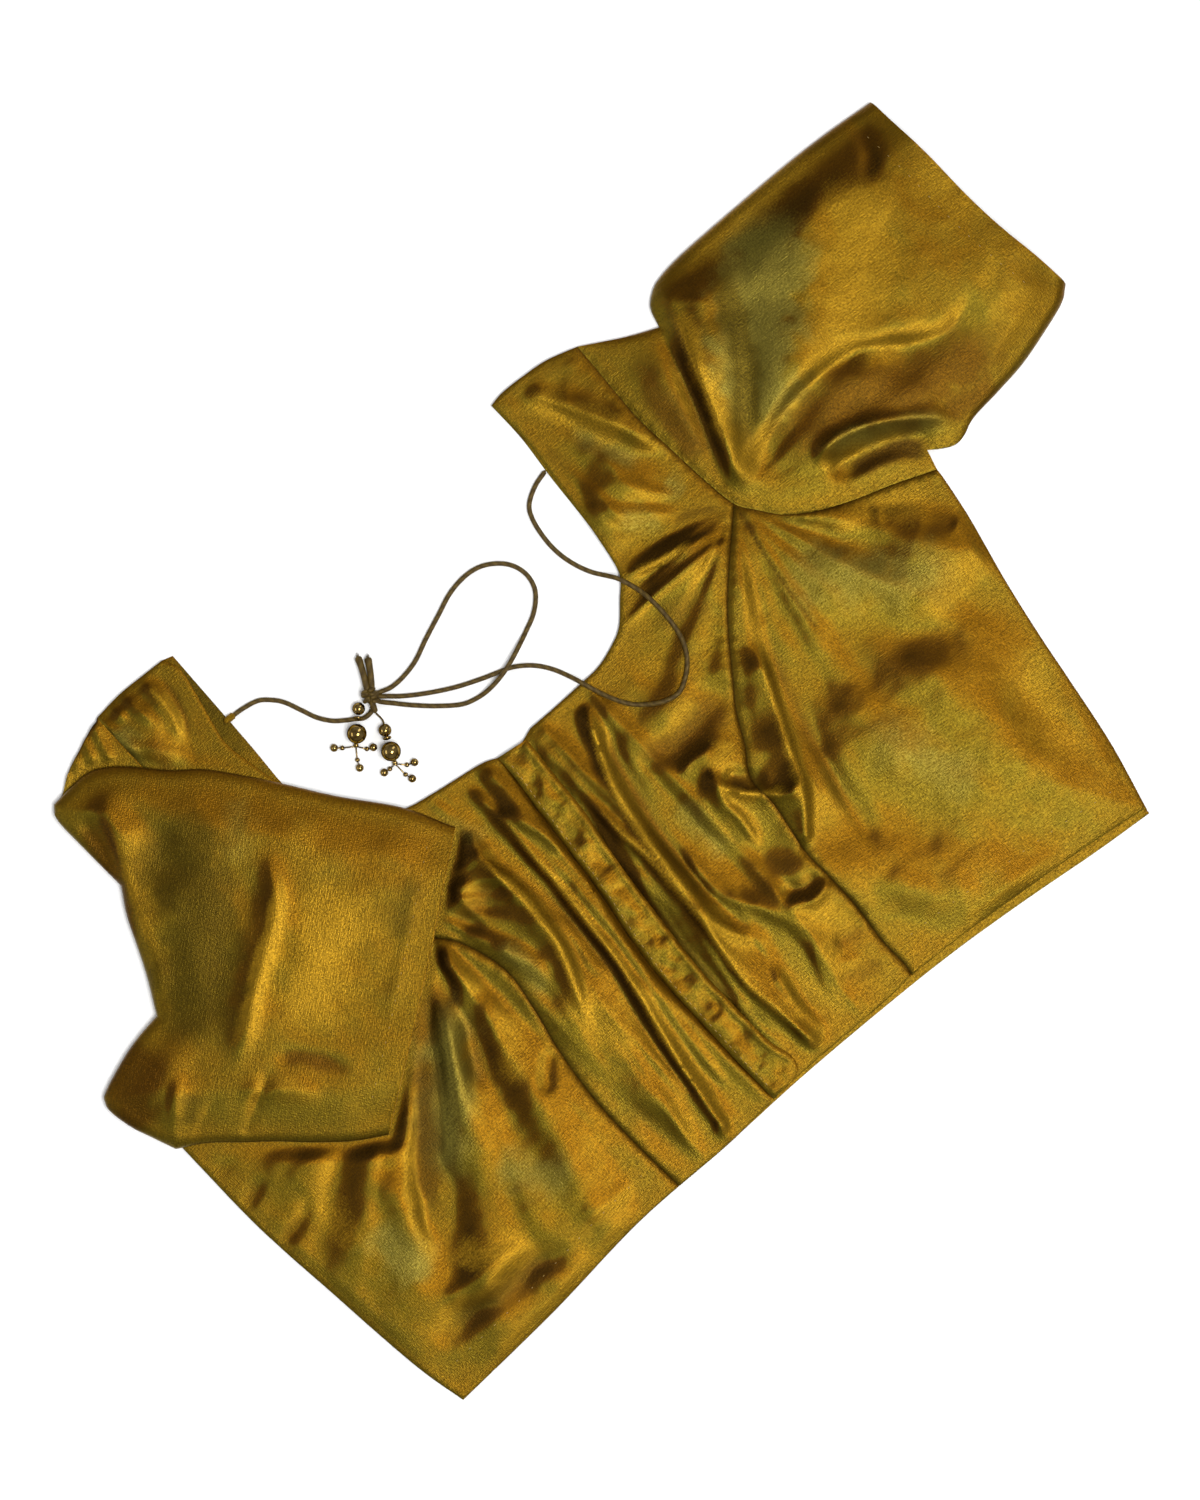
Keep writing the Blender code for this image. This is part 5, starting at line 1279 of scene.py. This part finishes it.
tie_knot = knot_piece()
declare(tie_knot, "tie_knot")
ears = [ear("tie_ear_end_1", (-29.0, 275.4, 3.4), (-21.7, 291.2, 1.9)),
        ear("tie_ear_end_2", (-27.2, 274.6, 2.8), (-18.4, 287.9, 1.9))]
for number, piece in enumerate(ears, 1):
    declare(piece, f"tie_ear_{number}")

# Each tassel: its medium bead, large bead and cap, and three drops as (seed bead, end bead).
Tassel = namedtuple("Tassel", "medium large cap drops")
TASSELS = [
    Tassel((-37.1, 272.4), (-45.2, 264.2), (-49.2, 260.4),
           [((-54.7, 263.7), (-57.5, 266.2)), ((-53.0, 255.0), (-54.6, 251.5)),
            ((-46.4, 256.0), (-43.6, 254.6))]),
    Tassel((-34.4, 257.0), (-38.6, 247.8), (-41.1, 242.0),
           [((-44.4, 242.1), (-47.4, 242.5)), ((-40.6, 235.4), (-39.5, 232.0)),
            ((-37.2, 238.4), (-33.8, 237.0))]),
]
beads = []
for number, tassel in enumerate(TASSELS, 1):
    medium, large = (*tassel.medium, 3.0), (*tassel.large, 4.6)
    outward = np.subtract((*tassel.cap, 1.35), large)
    outward /= np.linalg.norm(outward)
    seat = large + outward * 4.85
    end = seat + outward * 2.0
    axis = np.subtract(large, medium)
    beads.append(round_bead(f"bead_medium_{number}", medium, 2.95, axis, 0.9, 28))
    declare(beads[-1], f"tassel_{number}_medium_bead")
    collar_at = np.add(medium, axis * 0.37)
    spacer = spacer_ring(f"spacer_{number}", tuple(collar_at), 1.35, 1.3, axis)
    big = round_bead(f"bead_large_{number}", large, 4.55, axis, 1.2, 40)
    beads.append(join(f"bead_large_{number}", [big, spacer]))
    declare(beads[-1], f"tassel_{number}_large_bead")
    beads.append(cap(f"bead_cap_{number}", tuple(seat + outward), 1.3, 2.0, outward))
    declare(beads[-1], f"tassel_{number}_cap")
    for place, (seed, last) in enumerate(tassel.drops, 1):
        beads.append(drop(f"bead_drop_{number}_{place}", end, (*seed, 1.15), (*last, 1.85)))
        declare(beads[-1], f"tassel_{number}_drop_{place}")

# ---------------------------------------------------------------- the cloth

BACK_CREASES = [Crease(c.height * 0.16, c.left * 1.5, c.right * 1.5, 0.3, 0.3, 2.0,
                       [(-x, y) for x, y in c.path]) for c in FRONT_CREASES if abs(c.height) > 2]


def back_height(points):
    height = 0.78 + 0.1 * rough(points, 25.0, 9.0) + np.clip(pressed(points, BACK_CREASES), -0.2, 0.4)
    sides = from_lines(points, [smooth(SIDE_LEFT), smooth(SIDE_RIGHT)])
    return height + 0.35 * np.exp(-((sides / 4) ** 2))


FRONT_PANELS = [  # node, outline, flat size of the cut in metres, lean of the grain in degrees
    ("front_left_centre", FRONT_LEFT_CENTRE, (0.19, 0.345), 2),
    ("front_left_side", FRONT_LEFT_SIDE, (0.18, 0.245), -7),
    ("front_right_centre", FRONT_RIGHT_CENTRE, (0.165, 0.355), -1),
    ("front_right_side", FRONT_RIGHT_SIDE, (0.185, 0.24), 5),
]

# the back's painted light mirrors the front's, with painted shade beside the right strap
BACK_PAINTED_LIGHT = [tone._replace(path=[(-x, y) for x, y in tone.path]) for tone in FRONT_PAINTED_LIGHT]
BACK_PAINTED_LIGHT += [PaintedLight("olive", 1.0, 26, 26, 2, [(-92, 352), (-76, 312), (-58, 270)]),
               PaintedLight("dark", 0.5, 12, 12, 2, [(-88, 346), (-74, 312), (-60, 280)])]
cut_cloth("back_silk", "back", BACK, back_height, grain=0, step=2.6,
          painted_light=BACK_PAINTED_LIGHT)
for node, ring, flat, grain in FRONT_PANELS:
    cut_cloth(f"{node}_silk", node, ring, front_height, grain=grain, painted_light=FRONT_PAINTED_LIGHT,
              seams=[*SEAMS, DART])
cut_cloth("hook_band_silk", "hook_band", BAND, band_height, step=1.2,
          grain=1, painted_light=FRONT_PAINTED_LIGHT)


def on_the_surface(points):
    """Underside of what lies straight on the surface."""
    return np.full(len(points), 0.1)


def folded_under(points):
    """Underside of the folded sleeve, which turns down to the surface along its fold."""
    folded = from_lines(points, RIGHT_FOLDED[1:4])
    return FOLDED_UNDER - 2.6 * np.exp(-((folded / 1.3) ** 2))


CAP_GATHERS = [
    Crease(1.5, 2.0, 3.0, 0.1, 0.1, 1.5, [(-134, 348), (-137, 336), (-142, 318)]),
    Crease(1.3, 2.0, 3.0, 0.1, 0.1, 1.5, [(-141, 346), (-145, 335), (-149, 322)]),
    Crease(1.2, 2.0, 3.0, 0.1, 0.1, 1.5, [(-149, 342), (-154, 334), (-158, 326)]),
    Crease(1.1, 2.0, 3.0, 0.1, 0.1, 1.5, [(-158, 338), (-164, 333), (-168, 328)]),
]


def hidden_top(points):
    """Top of the sleeve's stretch between the armhole and the fold, gathered where it shows."""
    shown = clear_of(points, FOLDED, 1.0, 5.0)
    return FRONT_LOW + 0.1 + shown * (pressed(points, CAP_GATHERS) + 0.3 * rough(points, 9.0, 3.3) + 0.3)


sleeve_tube("sleeve_left_silk", "sleeve_left",
            [(LEFT_SLEEVE, left_sleeve_height, on_the_surface, [ARMHOLE_LEFT, LEFT_CUFF])],
            grain=-2, painted_light=LEFT_SLEEVE_PAINTED_LIGHT)
under_the_fold = shrunk(HIDDEN_SLEEVE, 1.0, ARMHOLE_RIGHT)
sleeve_tube("sleeve_right_silk", "sleeve_right",
            [(FOLDED, right_sleeve_height, folded_under, [RIGHT_CUFF]),
             (under_the_fold, hidden_top, on_the_surface, [ARMHOLE_RIGHT])],
            grain=38, painted_light=RIGHT_SLEEVE_PAINTED_LIGHT)

# ---------------------------------------------------------------- stitches


def stitches(name, line, height, every, length):
    """A row of small hand stitches, which lie on the cloth and dip into it at both ends."""
    dense = smooth(line, 0.5)
    run = np.concatenate(([0], np.cumsum(np.linalg.norm(np.diff(dense, axis=0), axis=1))))
    made = []
    for k, at in enumerate(np.arange(every / 2, run[-1] - every / 2, every)):
        shift = 0.25 * math.sin(k * 2.3)
        ends = np.linspace(at - length / 2, at + length / 2, 4) + shift
        spots = np.column_stack([np.interp(ends, run, dense[:, axis]) for axis in (0, 1)])
        level = height(spots) + np.array((-0.12, 0.1, 0.1, -0.12))
        made.append(tube(f"{name}_{k}", np.column_stack((spots, level)), 0.17, sewing_thread, 5))
    piece = join(name, made)
    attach(piece, "root")


def inset_line(line, distance):
    """A line moved sideways to its left by a distance."""
    dense = smooth(line, 2.0)
    ahead = np.gradient(dense, axis=0)
    ahead /= np.linalg.norm(ahead, axis=1)[:, None]
    return dense + distance * np.column_stack((-ahead[:, 1], ahead[:, 0]))


stitches("band_stitches", inset_line(BAND_SEAM, -2.4)[3:-2], band_height, 3.4, 1.8)
stitches("cuff_stitches_left", inset_line(LEFT_CUFF, -13)[4:-4], left_sleeve_height, 6.5, 1.3)
stitches("cuff_stitches_right", inset_line(RIGHT_CUFF, -11)[4:-4], right_sleeve_height, 6.5, 1.3)
stitches("hem_stitches_left", inset_line(between(HEM, (80, 13), (207, 1.6)), 15)[2:-2],
         front_height, 8.0, 1.2)
stitches("hem_stitches_right", inset_line(between(HEM, (-205, 0), (-72, 10)), 15)[2:-2],
         front_height, 8.0, 1.2)

collar = tube("cord_collar", [(-88.5, 308.1, 1.8), (-87, 308.1, 1.8), (-85, 308, 1.75), (-83, 307.9, 1.65),
                              (-81.8, 307.8, 1.72)], 1.7, silk, 16)
collar.data.uv_layers.active.name = "weave"
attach(collar, "root")

# ---------------------------------------------------------------- floor and light

bpy.ops.mesh.primitive_plane_add(size=6, location=(0, 0, 0))
floor = bpy.context.object
floor.name = "floor"
floor.data.materials.append(floor_finish())

world = bpy.data.worlds.new("studio")
bpy.context.scene.world = world
world.use_nodes = True
world.node_tree.nodes["Background"].inputs["Color"].default_value = (1.0, 1.0, 1.0, 1.0)
world.node_tree.nodes["Background"].inputs["Strength"].default_value = 0.36


def soft_light(name, location, size, power, tint=(1.0, 1.0, 1.0)):
    lamp = bpy.data.lights.new(name, "AREA")
    lamp.shape = "RECTANGLE"
    lamp.size, lamp.size_y = size
    lamp.energy = power
    lamp.color = tint
    holder = bpy.data.objects.new(name, lamp)
    holder.location = location
    holder.rotation_euler = (-Vector(location)).to_track_quat("-Z", "Y").to_euler()
    bpy.context.collection.objects.link(holder)


soft_light("key", (0.16, -0.55, 1.9), (0.9, 0.75), 34)
soft_light("side", (1.8, 0.5, 1.3), (0.7, 1.5), 9)
soft_light("rim", (-1.6, 1.0, 1.2), (1.3, 0.7), 8)

bpy.context.scene.view_settings.view_transform = "Standard"
bpy.context.scene.view_settings.look = "None"
